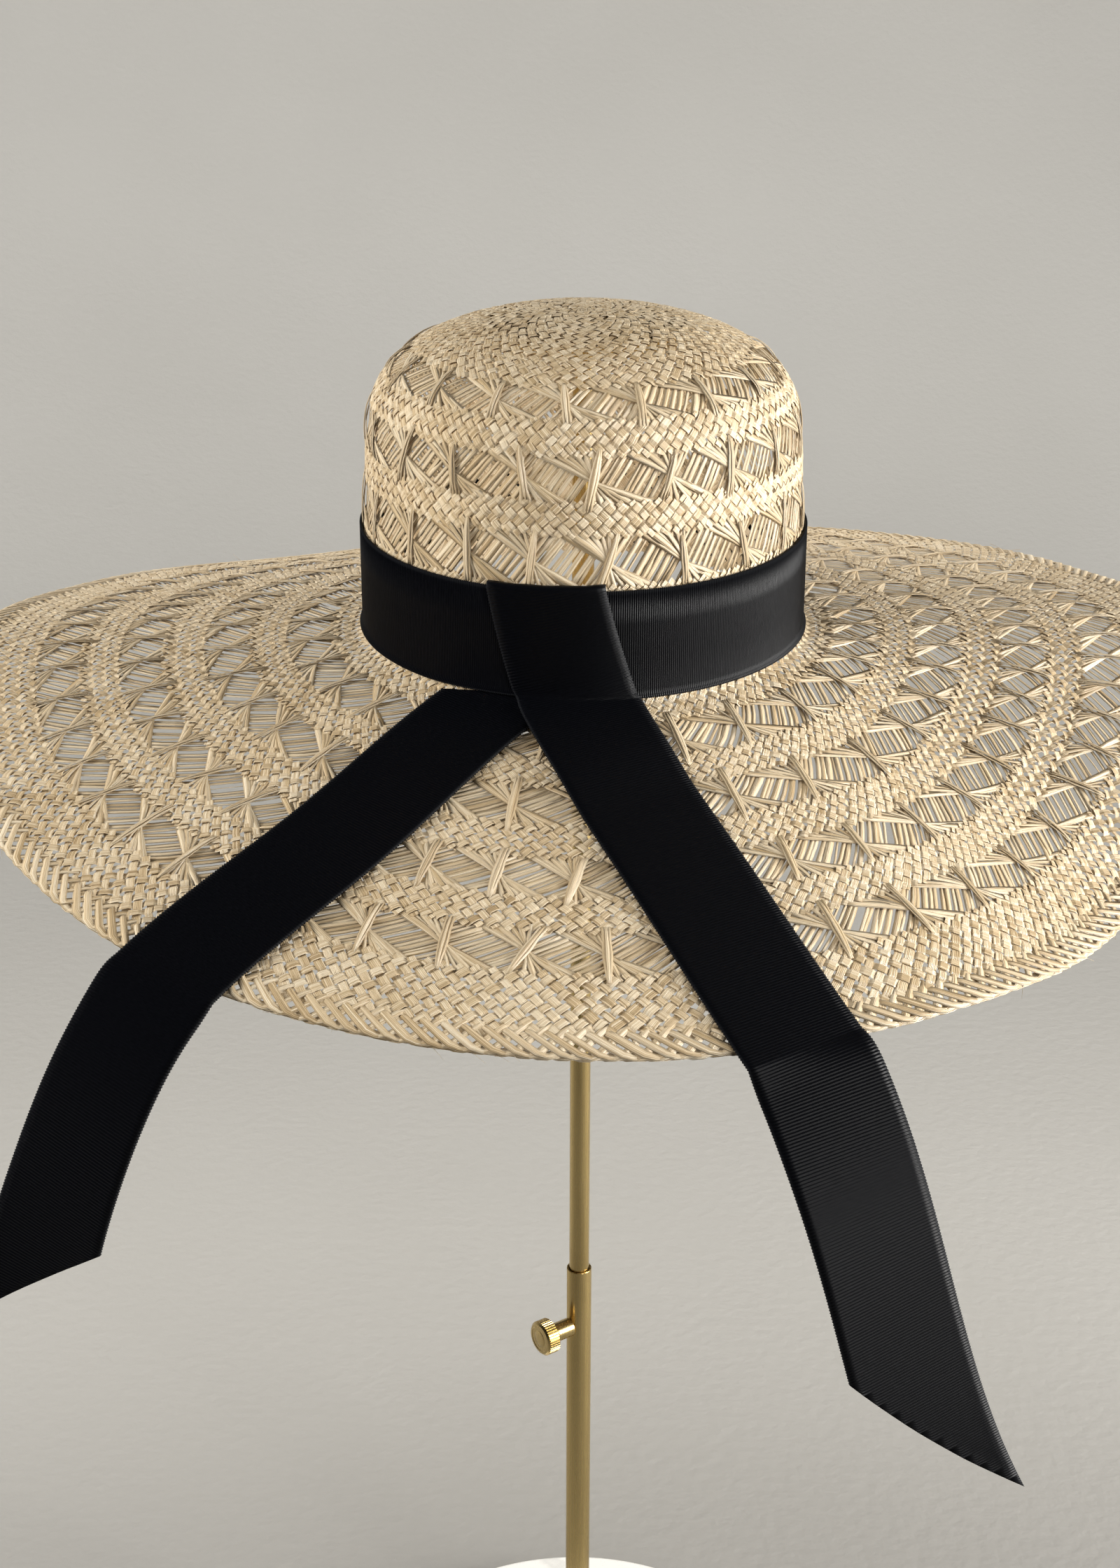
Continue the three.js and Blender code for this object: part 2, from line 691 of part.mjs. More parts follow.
// Head: a disc whose top follows the inside of the crown
function standHead() {
  const socket = mastDiameter / 2 + gap;
  const radius = headDiameter / 2;
  const crownInside = halfWidth - strawThickness;
  const steps = 6;
  const dome = Array.from({ length: steps }, (_, i) => {
    const r = radius * (1 - i / steps);
    const row = crownOutline.findLast(({ radius: share }) => share >= r / crownInside);
    return [r, headBottom + headThickness - (crownHeight - row.height)];
  });
  const profile = [
    [0, headBottom + headSocket],
    [socket, headBottom + headSocket],
    [socket, headBottom],
    [radius - headChamfer, headBottom],
    ...dome,
    [0, headBottom + headThickness],
  ];
  addMesh(frame, 'stand_head', turned(profile, 32), brass);
}

function standScrew() {
  const tip = mastDiameter / 2 + gap;
  const from = bossReach + knobStandoff;
  const teeth = Array.from({ length: knurls * 2 }, (_, i) => {
    const turn = (i / (knurls * 2)) * 360 * degrees;
    const radius = knobDiameter / 2 - (i % 2) * knurlDepth;
    return new THREE.Vector2(radius * Math.cos(turn), radius * Math.sin(turn));
  });
  const knob = new THREE.ExtrudeGeometry(new THREE.Shape(teeth), {
    depth: knobThickness,
    bevelEnabled: false,
  }).translate(0, 0, from);
  const shaft = rod(screwDiameter / 2, tip, from + knobThickness / 2, 16);
  const screw = asSolid(knob).add(asSolid(shaft));
  addMesh(frame, 'stand_screw', placeAsScrew(fromSolid(screw)), brass);
}

crown();
brim();
hatband();
tailRight();
tailLeft();
standBase();
standSleeve();
standMast();
standHead();
standScrew();

export default frame;
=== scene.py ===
import math

import bpy
import numpy as np
from mathutils import Matrix, Vector


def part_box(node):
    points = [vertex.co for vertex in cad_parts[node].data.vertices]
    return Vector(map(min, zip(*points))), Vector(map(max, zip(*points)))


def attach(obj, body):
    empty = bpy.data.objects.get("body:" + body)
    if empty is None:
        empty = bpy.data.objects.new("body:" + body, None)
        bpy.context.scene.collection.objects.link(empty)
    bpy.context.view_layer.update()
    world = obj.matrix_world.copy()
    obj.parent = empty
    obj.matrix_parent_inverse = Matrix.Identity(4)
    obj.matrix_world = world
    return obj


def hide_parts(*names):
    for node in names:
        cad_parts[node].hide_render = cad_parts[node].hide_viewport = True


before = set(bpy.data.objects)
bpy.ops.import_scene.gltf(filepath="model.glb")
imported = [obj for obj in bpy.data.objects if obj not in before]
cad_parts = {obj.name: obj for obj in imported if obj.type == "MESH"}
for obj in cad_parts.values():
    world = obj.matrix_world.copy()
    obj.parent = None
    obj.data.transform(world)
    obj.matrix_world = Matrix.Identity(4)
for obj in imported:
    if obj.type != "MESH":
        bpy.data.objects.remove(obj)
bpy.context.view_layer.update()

mm = 0.001
fullTurn = 2 * math.pi

bpy.ops.object.select_all(action="DESELECT")


# The hat's surfaces. Sizes are in millimetres, heights count from the foot of the crown.

hatSizes = {
    "crownHeight": 120.7,
    "sideHeight": 62.9,  # the shoulder starts here
    "shoulderRoundness": 1.963,
    "topRoundness": 3.913,
    "leanStart": 41.8,
    "leanPerMetre": 0.5,
    "brimWidth": 154,
    "bendRadius": 5,  # between crown and brim
    "collarHeight": 3,
    "sag": 0.2,
    "droop": (3.5, 4.9, 8.9, 12.9, 13.7, 7.9, 3.8, 12.2, 20.0, 23.6, 23.7, 25.4),
}
crownLow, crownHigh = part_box("crown")
halfWidth = crownHigh.x / mm
halfLength = crownHigh.y / mm
hatFoot = crownHigh.z / mm - hatSizes["crownHeight"]
meanRadius = (halfWidth + halfLength) / 2


def aroundOval(angle, out, height, scale=1.0):
    across, along = np.cos(angle) / halfWidth, np.sin(angle) / halfLength
    size = np.hypot(across, along)
    x = halfWidth * np.cos(angle) * scale + across / size * out
    y = halfLength * np.sin(angle) * scale + along / size * out
    return np.stack(np.broadcast_arrays(x, y, height), -1)


def crownOutline():
    s = hatSizes
    turn = np.concatenate([np.zeros(40), np.linspace(0, math.pi / 2, 401)])
    height = s["sideHeight"] + (s["crownHeight"] - s["sideHeight"]) * np.sin(turn) ** (2 / s["topRoundness"])
    height[:40] = np.linspace(0, s["sideHeight"], 41)[:40]
    lean = 1 - np.maximum(height - s["leanStart"], 0) * s["leanPerMetre"] / 1000
    radius = np.maximum(np.cos(turn), 0) ** (2 / s["shoulderRoundness"]) * lean
    step = np.hypot(np.diff(height), np.diff(radius) * meanRadius)
    return height, radius, np.concatenate([[0], np.cumsum(step)])


outlineHeight, outlineRadius, outlineLength = crownOutline()
crownStraw = outlineLength[-1]


def crownSurface(angle, along, lift):
    reach = 0.2
    along = np.minimum(along, crownStraw - reach)
    height, radius = (np.interp(along, outlineLength, v) for v in (outlineHeight, outlineRadius))
    before, after = np.maximum(along - reach, 0), np.minimum(along + reach, crownStraw)
    climb = np.interp(after, outlineLength, outlineHeight) - np.interp(before, outlineLength, outlineHeight)
    inward = np.interp(before, outlineLength, outlineRadius) - np.interp(after, outlineLength, outlineRadius)
    inward = inward * meanRadius
    size = np.hypot(climb, inward)
    return aroundOval(angle, lift * climb / size, height + lift * inward / size, radius)


def droopAt(angle):
    table = np.radians(hatSizes["droop"])
    count = len(table)
    x = (np.asarray(angle) / fullTurn * count) % count
    i = np.floor(x).astype(int)
    t = x - i
    a, b, c, d = (table[(i + k) % count] for k in (-1, 0, 1, 2))
    return b + 0.5 * t * (c - a + t * (2 * a - 5 * b + 4 * c - d + t * (3 * (b - c) + d - a)))


def brimSurface(angle, along, lift):
    radius, sag, width = hatSizes["bendRadius"], hatSizes["sag"], hatSizes["brimWidth"]
    slope = droopAt(angle)
    bend = radius * (math.pi / 2 - slope)
    turn = np.clip((along + bend) / radius, 0, math.pi / 2 - slope)
    reach = radius - lift
    wall = np.maximum(-bend - along, 0)
    mean = slope * (1 + sag * (along / (2 * width) - 0.5))
    local = slope * (1 + sag * (along / width - 0.5))
    flat = along >= 0
    out = np.where(flat, radius * (1 - np.sin(slope)) + along * np.cos(mean) + lift * np.sin(local),
                   radius - reach * np.cos(turn))
    height = np.where(flat, radius - radius * np.cos(slope) - along * np.sin(mean) + lift * np.cos(local),
                      radius - reach * np.sin(turn) + wall)
    return aroundOval(angle, out, height)


def crownRadiusAt(along):
    return np.interp(along, outlineLength, outlineRadius) * meanRadius


def brimRadiusAt(along):
    return meanRadius + hatSizes["bendRadius"] * 0.8 + along * 0.97


# Meshes

def unit(vectors):
    return vectors / np.maximum(np.linalg.norm(vectors, axis=-1, keepdims=True), 1e-9)


def meshObject(name, points, faces, uv=None, tone=None):
    mesh = bpy.data.meshes.new(name)
    mesh.from_pydata((points + [0, 0, hatFoot]) * mm, [], faces)
    if uv is not None:
        layer = mesh.uv_layers.new(name="strand")
        corner = np.zeros(len(mesh.loops), np.int32)
        mesh.loops.foreach_get("vertex_index", corner)
        layer.data.foreach_set("uv", uv[corner].astype(np.float32).ravel())
    if tone is not None:
        mesh.attributes.new("tone", "FLOAT", "POINT").data.foreach_set("value", tone.astype(np.float32))
    mesh.shade_smooth()
    obj = bpy.data.objects.new(name, mesh)
    bpy.context.collection.objects.link(obj)
    return obj


# Points of a strand's section: across as a share of its width, tall as a share of its thickness
flatSection = {
    "across": (-0.5, -0.4, 0.4, 0.5, 0), "tall": (0.1, 0.5, 0.5, 0.1, -0.5), "uv": (0, 0.1, 0.9, 1, 0.5),
}
narrowSection = {"across": (-0.5, 0, 0.5, 0), "tall": (0, 0.5, 0, -0.5), "uv": (0, 0.5, 1, 0.5)}


def strands(surface, angle, along, lift, width, thickness, tone, section=narrowSection):
    angle, along, lift, width = np.broadcast_arrays(angle, along, lift, width)
    middle = surface(angle, along, lift)
    up = unit(surface(angle, along, lift + 1) - middle)
    ahead = unit(np.gradient(middle, axis=1))
    aside = unit(np.cross(ahead, up))
    across = np.array(section["across"])[:, None]
    tall = np.array(section["tall"])[:, None] * thickness
    sections = middle[:, :, None] + aside[:, :, None] * across * width[..., None, None] + up[:, :, None] * tall
    steps = np.linalg.norm(np.diff(middle, axis=1), axis=-1)
    run = np.concatenate([np.zeros((len(middle), 1)), np.cumsum(steps, 1)], 1)
    return {"sections": sections, "run": run, "tone": np.broadcast_to(tone, len(middle)), "uv": section["uv"]}


def strandPiece(name, groups, material, flat=False):
    allPoints, allFaces, allUv, allTone = [], [], [], []
    offset = 0
    for group in groups:
        count, samples = group["run"].shape
        sides = len(group["uv"])
        index = offset + np.arange(count * samples * sides).reshape(count, samples, sides)
        after = np.roll(index, -1, axis=2)
        skin = np.stack([index[:, :-1], after[:, :-1], after[:, 1:], index[:, 1:]], -1).reshape(-1, 4)
        allFaces += skin.tolist() + index[:, 0, ::-1].tolist() + index[:, -1].tolist()
        allPoints.append(group["sections"].reshape(-1, 3))
        across = np.broadcast_to(group["uv"], (count, samples, sides))
        along = np.broadcast_to(group["run"][..., None], across.shape)
        allUv.append(np.stack([along, across], -1).reshape(-1, 2))
        allTone.append(np.repeat(group["tone"], samples * sides))
        offset += count * samples * sides
    points, uv, tone = (np.concatenate(values) for values in (allPoints, allUv, allTone))
    obj = meshObject(name, points, allFaces, uv, tone)
    if flat:
        obj.data.shade_flat()
    obj.data.materials.append(material)
    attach(obj, "root")
    print(name, triangleCount(obj), "triangles")
    return obj


def triangleCount(obj):
    return sum(len(face.vertices) - 2 for face in obj.data.polygons)


# Materials

def newMaterial(name):
    material = bpy.data.materials.new(name)
    material.use_nodes = True
    tree = material.node_tree
    return material, tree, tree.nodes["Principled BSDF"]


def node(tree, kind, inputs, **settings):
    made = tree.nodes.new(kind)
    for key, value in settings.items():
        setattr(made, key, value)
    for key, value in inputs.items():
        if isinstance(value, bpy.types.NodeSocket):
            tree.links.new(value, made.inputs[key])
        else:
            made.inputs[key].default_value = value
    return made


def maths(tree, operation, *values):
    return node(tree, "ShaderNodeMath", dict(enumerate(values)), operation=operation).outputs[0]


def ranged(tree, value, low, high, toLow, toHigh):
    bounds = {"Value": value, "From Min": low, "From Max": high, "To Min": toLow, "To Max": toHigh}
    return node(tree, "ShaderNodeMapRange", bounds, interpolation_type="SMOOTHSTEP").outputs[0]


def colourRamp(tree, value, *stops):
    ramp = node(tree, "ShaderNodeValToRGB", {"Fac": value})
    elements = ramp.color_ramp.elements
    elements[0].position, elements[0].color = stops[0]
    elements[1].position, elements[1].color = stops[-1]
    for position, colour in stops[1:-1]:
        elements.new(position).color = colour
    return ramp.outputs["Color"]


def noise(tree, place, scale, detail=2.0):
    return node(tree, "ShaderNodeTexNoise", {"Vector": place, "Scale": scale, "Detail": detail}).outputs["Fac"]


def stretched(tree, place, scale):
    return node(tree, "ShaderNodeMapping", {"Vector": place, "Scale": scale}).outputs[0]


strawLook = {
    "darkest": (0.19, 0.115, 0.055, 1),
    "warm": (0.50, 0.365, 0.20, 1),
    "pale": (0.72, 0.575, 0.375, 1),
    "lightest": (0.90, 0.79, 0.60, 1),
    "fibreGrooveShade": (0.42, 0.30, 0.18, 1),  # painted shade between the fibres of one strand
    "roughness": 0.36,
    "specular": 0.75,
}


def makeStraw():
    look = strawLook
    material, tree, shader = newMaterial("straw")
    uv = node(tree, "ShaderNodeUVMap", {}, uv_map="strand").outputs["UV"]
    split = node(tree, "ShaderNodeSeparateXYZ", {"Vector": uv})
    along, across = split.outputs["X"], split.outputs["Y"]
    tone = node(tree, "ShaderNodeAttribute", {}, attribute_name="tone").outputs["Fac"]
    # Five to seven fibres lie side by side in a strand, each with a shade of its own
    count = maths(tree, "FLOOR", maths(tree, "MULTIPLY_ADD", tone, 2.999, 5.0))
    toneFar = maths(tree, "MULTIPLY", tone, 97.0)
    place = {"X": maths(tree, "MULTIPLY", along, 0.06), "Y": toneFar}
    place = node(tree, "ShaderNodeCombineXYZ", place).outputs[0]
    wander = maths(tree, "MULTIPLY", noise(tree, place, 1.0, 1.0), 0.6)
    position = maths(tree, "ADD", maths(tree, "MULTIPLY", across, count), wander)
    within = maths(tree, "ABSOLUTE", maths(tree, "SUBTRACT", maths(tree, "FRACT", position), 0.5))
    fibre = node(tree, "ShaderNodeCombineXYZ", {"X": maths(tree, "FLOOR", position), "Y": toneFar}).outputs[0]
    fibreShade = node(tree, "ShaderNodeTexWhiteNoise", {"Vector": fibre}, noise_dimensions="2D")
    fibreShade = fibreShade.outputs["Value"]
    fine = {"X": maths(tree, "MULTIPLY", along, 0.12), "Y": maths(tree, "MULTIPLY", across, 18.0)}
    fine["Z"] = toneFar
    streak = noise(tree, node(tree, "ShaderNodeCombineXYZ", fine).outputs[0], 1.0, 3.0)
    shade = maths(tree, "MULTIPLY_ADD", fibreShade, 0.36, maths(tree, "MULTIPLY", streak, 0.6))
    shade = maths(tree, "MULTIPLY_ADD", tone, 0.2, shade)
    colour = colourRamp(tree, shade, (0.15, look["darkest"]), (0.38, look["warm"]), (0.6, look["pale"]),
                        (0.85, look["lightest"]))
    # Painted shade: the colour darkens towards the grooves between the fibres
    fibreGrooveShade = ranged(tree, within, 0.36, 0.5, 0.0, 0.75)
    dark = {"Factor": fibreGrooveShade, "A": colour, "B": look["fibreGrooveShade"]}
    dark = node(tree, "ShaderNodeMix", dark, data_type="RGBA", blend_type="MULTIPLY").outputs["Result"]
    tree.links.new(dark, shader.inputs["Base Color"])
    roundness = maths(tree, "MULTIPLY", maths(tree, "MULTIPLY", within, within), -4.0)
    height = maths(tree, "MULTIPLY_ADD", streak, 0.8, roundness)
    bump = node(tree, "ShaderNodeBump", {"Height": height, "Strength": 0.7, "Distance": 0.00013})
    tree.links.new(bump.outputs[0], shader.inputs["Normal"])
    shader.inputs["Roughness"].default_value = look["roughness"]
    shader.inputs["Specular IOR Level"].default_value = look["specular"]
    return material


ribbonLook = {
    "dark": (0.0008, 0.0009, 0.0013, 1),
    "light": (0.0030, 0.0033, 0.0048, 1),
    # a lighter edge thread, which also paints the highlight on the scalloped edges
    "edgeThreadAndHighlight": (0.008, 0.0085, 0.010, 1),
    "roughness": 0.38,
    "specular": 0.12,
    "sheen": 0.0,
}


def makeRibbon(width):
    look = ribbonLook
    material, tree, shader = newMaterial("ribbon")
    uv = node(tree, "ShaderNodeUVMap", {}, uv_map="strand").outputs["UV"]
    thread = noise(tree, stretched(tree, uv, (5.0, 0.5, 1.0)), 1.0)
    colour = colourRamp(tree, thread, (0.2, look["dark"]), (0.8, look["light"]))
    across = node(tree, "ShaderNodeSeparateXYZ", {"Vector": uv}).outputs["Y"]
    away = maths(tree, "ABSOLUTE", maths(tree, "SUBTRACT", across, width / 2))
    # A lighter edge thread, which also paints the highlight on the scalloped edges
    edge = ranged(tree, away, width / 2 - 0.9, width / 2 - 0.3, 0.0, 1.0)
    mixed = {"Factor": edge, "A": colour, "B": look["edgeThreadAndHighlight"]}
    mixed = node(tree, "ShaderNodeMix", mixed, data_type="RGBA").outputs["Result"]
    tree.links.new(mixed, shader.inputs["Base Color"])
    bump = node(tree, "ShaderNodeBump", {"Height": thread, "Strength": 0.35, "Distance": 0.0001})
    tree.links.new(bump.outputs[0], shader.inputs["Normal"])
    shader.inputs["Roughness"].default_value = look["roughness"]
    shader.inputs["Specular IOR Level"].default_value = look["specular"]
    shader.inputs["Sheen Weight"].default_value = look["sheen"]
    shader.inputs["Sheen Roughness"].default_value = 0.35
    return material


brassLook = {
    "colour": (0.60, 0.45, 0.20, 1),
    "aged": (0.40, 0.28, 0.11, 1),
    "roughness": 0.24,
}


def makeBrass():
    look = brassLook
    material, tree, shader = newMaterial("brass")
    place = node(tree, "ShaderNodeTexCoord", {}).outputs["Object"]
    stain = noise(tree, stretched(tree, place, (60.0, 60.0, 9.0)), 1.0, 4.0)
    mixed = {"Factor": ranged(tree, stain, 0.45, 0.8, 0.0, 1.0), "A": look["colour"], "B": look["aged"]}
    mixed = node(tree, "ShaderNodeMix", mixed, data_type="RGBA").outputs["Result"]
    tree.links.new(mixed, shader.inputs["Base Color"])
    grain = noise(tree, stretched(tree, place, (2600.0, 2600.0, 40.0)), 1.0)
    rough = ranged(tree, grain, 0.0, 1.0, look["roughness"] - 0.05, look["roughness"] + 0.09)
    tree.links.new(rough, shader.inputs["Roughness"])
    shader.inputs["Metallic"].default_value = 1.0
    return material


stoneLook = {
    "white": (0.80, 0.785, 0.75, 1),
    "vein": (0.66, 0.65, 0.62, 1),
    "roughness": 0.3,
}


def makeStone():
    look = stoneLook
    material, tree, shader = newMaterial("stone")
    place = node(tree, "ShaderNodeTexCoord", {}).outputs["Object"]
    cloud = noise(tree, place, 14.0, 6.0)
    colour = colourRamp(tree, cloud, (0.47, look["white"]), (0.5, look["vein"]), (0.53, look["white"]))
    tree.links.new(colour, shader.inputs["Base Color"])
    grain = noise(tree, place, 900.0)
    rough = ranged(tree, grain, 0.0, 1.0, look["roughness"] - 0.06, look["roughness"] + 0.06)
    tree.links.new(rough, shader.inputs["Roughness"])
    return material


straw = makeStraw()
ribbon = makeRibbon(42)
brass = makeBrass()
stone = makeStone()
print("materials made")


# The weave

weave = {
    "depth": -0.95,  # middle of the straw under the hat's outside
    "relief": 0.34,
    "thickness": 0.3,
    "strandWidth": 0.75,  # share of the pitch
    "tile": 0.31,  # half the flat part, as a share of the way to the next crossing
    "overlap": 1.8,  # by which the openwork reaches into the dense weave
    "seed": 7,
}
# Rows of openwork: number of knots, inner and outer edge, and where one knot lies in degrees from +X
crownRows = (
    {"knots": 20, "from": 41.8, "to": 61.3, "knotAt": 6.7},
    {"knots": 20, "from": 71.8, "to": 88.8, "knotAt": 2.7},
    {"knots": 17, "from": 100.5, "to": 116.3, "knotAt": 11.0},
)
brimRows = (
    {"knots": 32, "from": 8.0, "to": 27.0, "knotAt": -58.3},
    {"knots": 38, "from": 39.5, "to": 58.5, "knotAt": -99.3},
    {"knots": 49, "from": 72.5, "to": 91.0, "knotAt": -98.8},
    {"knots": 56, "from": 104.0, "to": 122.5, "knotAt": -94.8},
)
# How far apart the brim's knots lie round the hat: degrees from +X, share of the usual distance
knotSpread = (
    (-190, 0.92), (-130, 1.05), (-70, 1.05), (-45, 1.6), (-33, 1.35), (-24, 0.95), (-12, 0.6), (5, 0.75), (30, 0.9),
)
# Strands of each direction in the dense weave
crownDense = (
    {"from": 0.5, "to": 37.5, "strands": 72},  # behind the ribbon
    {"from": 36, "to": 43, "strands": 110},
    {"from": 60.5, "to": 72.5, "strands": 112},
    {"from": 88, "to": 101.5, "strands": 106},
    {"from": 115.5, "to": 131, "strands": 76},
    {"from": 129.6, "to": 145, "strands": 60},
    {"from": 143.8, "to": 157, "strands": 44},
    {"from": 156, "to": 168, "strands": 30},
    {"from": 167, "to": 178, "strands": 18},
    {"from": 177, "to": 186.2, "strands": 9},
)
brimDense = (
    {"from": -4.5, "to": 8.8, "strands": 124},
    {"from": 26.3, "to": 40.3, "strands": 164},
    {"from": 57.8, "to": 73.3, "strands": 196},
    {"from": 90.2, "to": 104.8, "strands": 232},
    {"from": 121.6, "to": 147, "strands": 262},
)
chance = np.random.default_rng(weave["seed"])


def denseBand(surface, radiusAt, start, end, count):
    along = np.linspace(start, end, 200)
    rate = 1 / radiusAt(along)
    turned = np.concatenate([[0], np.cumsum((rate[1:] + rate[:-1]) / 2 * np.diff(along))])
    rows = max(round(turned[-1] * count / math.pi), 1)
    turned *= math.pi * rows / count / turned[-1]
    # Each strand lies flat over one crossing, dives, and lies flat under the next
    crossing = np.clip(np.arange(rows + 1)[:, None] + [-weave["tile"], weave["tile"]], 0, rows).ravel()
    steps = crossing * math.pi / count
    place = np.interp(steps, turned, along)
    wave = np.where(np.round(crossing) % 2 == 0, 1, -1)
    samples = len(crossing)
    pitch = fullTurn * radiusAt(place) / count * math.sqrt(0.5)
    groups = []
    for way in (1, -1):
        first = (np.arange(count)[:, None] + chance.normal(0, 0.07, (count, 1))) / count * fullTurn
        drift = chance.normal(0, 0.022, (count, samples)) / count * fullTurn
        lift = weave["depth"] + way * weave["relief"] * wave + chance.normal(0, 0.07, (count, samples))
        width = pitch * weave["strandWidth"] * (1 + chance.normal(0, 0.12, (count, 1)))
        groups.append(strands(surface, first + way * steps + drift, place, lift, width, weave["thickness"],
                              chance.random(count), flatSection))
    return groups


def knotAngles(row, spread):
    turn = np.radians(np.arange(-180, 181))
    table = np.array(spread)
    rate = 1 / np.interp(np.degrees(turn), table[:, 0], table[:, 1], period=360)
    count = np.concatenate([[0], np.cumsum((rate[1:] + rate[:-1]) / 2)])
    count *= row["knots"] / count[-1]
    start = np.interp(math.radians(row["knotAt"]), turn, count) % 1
    return np.interp(start + np.arange(row["knots"]), count, turn)


bundleLook = {
    "arms": ((0.0, 1.5), (0.14, 1.7), (0.3, 1.9), (0.45, 2.2), (0.6, 2.5), (0.76, 2.6)),
    "armThickness": 0.28,
    "rise": 0.75,  # of the bundle at the knot
    "strip": 3.2,  # from one back strip to the next
    "stripWidth": 1.9,
    "wrapReach": 1.15,  # share of the row's half height
    "wrapWidth": 1.25,
}


def openwork(surface, radiusAt, row, way, spread, lean):
    look = bundleLook
    middle = (row["from"] + row["to"]) / 2
    radius = radiusAt(middle)
    half = (row["to"] - row["from"]) / 2
    reach = half + weave["overlap"]
    groups = []
    # Back layer: narrow, nearly parallel strips
    strips = round(fullTurn * radius / look["strip"])
    at = np.linspace(-1, 1, 4)
    first = (np.arange(strips)[:, None] + chance.normal(0, 0.16, (strips, 1))) / strips * fullTurn
    slant = lean(first) * reach / radius * way
    width = look["stripWidth"] * (1 + chance.normal(0, 0.22, (strips, 1)))
    lift = weave["depth"] - 0.4 + chance.normal(0, 0.1, (strips, 1)) + 0.12 * chance.normal(0, 1, (strips, 4))
    skew = 1 + chance.normal(0, 0.05, (strips, 1))
    groups.append(strands(surface, first + slant * skew * at, middle + reach * at, lift, width, 0.26,
                          chance.random(strips)))
    # Front layer: each bundle gathers at its knot and spreads to one side above and to the other below
    knotAt = knotAngles(row, spread)[:, None]
    step = np.roll(knotAt, -1) - knotAt
    step[-1] += fullTurn
    step = (step + np.roll(step, 1)) / 2
    knots = len(knotAt)
    knotAt = knotAt + chance.normal(0, 0.02, (knots, 1)) * step
    knotHeight = middle + chance.normal(0, 0.06, (knots, 1)) * half
    at = np.array([-1, -0.72, -0.42, -0.17, 0, 0.17, 0.42, 0.72, 1])
    away = np.abs(at)
    for order, (share, width) in enumerate(look["arms"]):
        swing = share * (1 + chance.normal(0, 0.07, (knots, 1)))
        swing = swing * away ** (1.0 + 0.25 * (1 - share)) * -np.sign(at) * way
        pinch = (share - 0.35) * 1.6 * np.clip(1 - away * 2.2, 0, 1) * -way
        angle = knotAt + step * swing
        height = knotHeight + (reach - np.sign(at) * (knotHeight - middle)) * at + pinch
        spreadWidth = (0.5 + 0.5 * np.minimum(away * 1.8, 1)) * width
        spreadWidth = spreadWidth * (1 + chance.normal(0, 0.14, (knots, 1)))
        lift = weave["depth"] + look["rise"] * (1 - away) - 0.05 * order + chance.normal(0, 0.06, (knots, 1))
        lift = lift + 0.1 * chance.normal(0, 1, (knots, len(at))) * (away > 0.2)
        groups.append(strands(surface, angle, height, lift, spreadWidth, look["armThickness"],
                              chance.random(knots)))
    # Wrap: a few strands that hold the bundle, widest at the knot
    wrapLean = way * chance.normal(0.015, 0.03, (knots, 1))
    wrapReach = half * look["wrapReach"] * (1 + chance.normal(0, 0.12, (knots, 1)))
    for order, share in enumerate((-1, 0, 1)):
        bulge = share * (0.3 + 0.7 * (1 - away ** 1.5)) + share * 1.6 * np.clip(-at - 0.4, 0, 1)
        angle = knotAt + wrapLean * step * at * 2 + bulge / radius
        height = knotHeight + wrapReach * at
        lift = weave["depth"] + 0.12 + (1.2 - 0.3 * abs(share)) * (1 - away ** 2.2) + 0.3 * away
        width = look["wrapWidth"] * (0.7 + 0.4 * (1 - away)) * (1 + chance.normal(0, 0.14, (knots, 1)))
        groups.append(strands(surface, angle, height, lift, width, look["armThickness"], chance.random(knots)))
    return groups


def crownLean(angle):
    return 0.75 - 0.25 * np.cos(angle)


def crownWeave():
    evenly = ((-180, 1), (0, 1))
    wall, top, knots = [], [], []
    for band in crownDense:
        target = wall if band["from"] < 110 else top
        target += denseBand(crownSurface, crownRadiusAt, band["from"], band["to"], band["strands"])
    for row in crownRows:
        knots += openwork(crownSurface, crownRadiusAt, row, 1, evenly, crownLean)
    pieces = [strandPiece("crownWeave", wall, straw, True), strandPiece("crownTop", top, straw, True),
              strandPiece("crownOpenwork", knots, straw)]
    for piece in pieces:
        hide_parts("crown")
    return pieces


def brimLean(angle):
    # The back strips lie flatter at the front
    away = (np.degrees(angle) + 98 + 180) % 360 - 180
    return 0.85 + 0.8 * np.exp(-(away / 28) ** 2)


def brimWeave():
    inner, outer, strips, knots = [], [], [], []
    for band in brimDense:
        target = inner if band["from"] < 80 else outer
        target += denseBand(brimSurface, brimRadiusAt, band["from"], band["to"], band["strands"])
    for row in brimRows:
        made = openwork(brimSurface, brimRadiusAt, row, -1, knotSpread, brimLean)
        strips.append(made[0])
        knots += made[1:]
    pieces = [strandPiece("brimWeave", inner, straw, True), strandPiece("brimEdgeWeave", outer, straw, True),
              strandPiece("brimStrips", strips, straw), strandPiece("brimOpenwork", knots, straw)]
    for piece in pieces:
        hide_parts("brim")
    return pieces


rimBraid = {"strands": 236, "width": 2.9, "wisps": 170, "wispLength": 7.0}


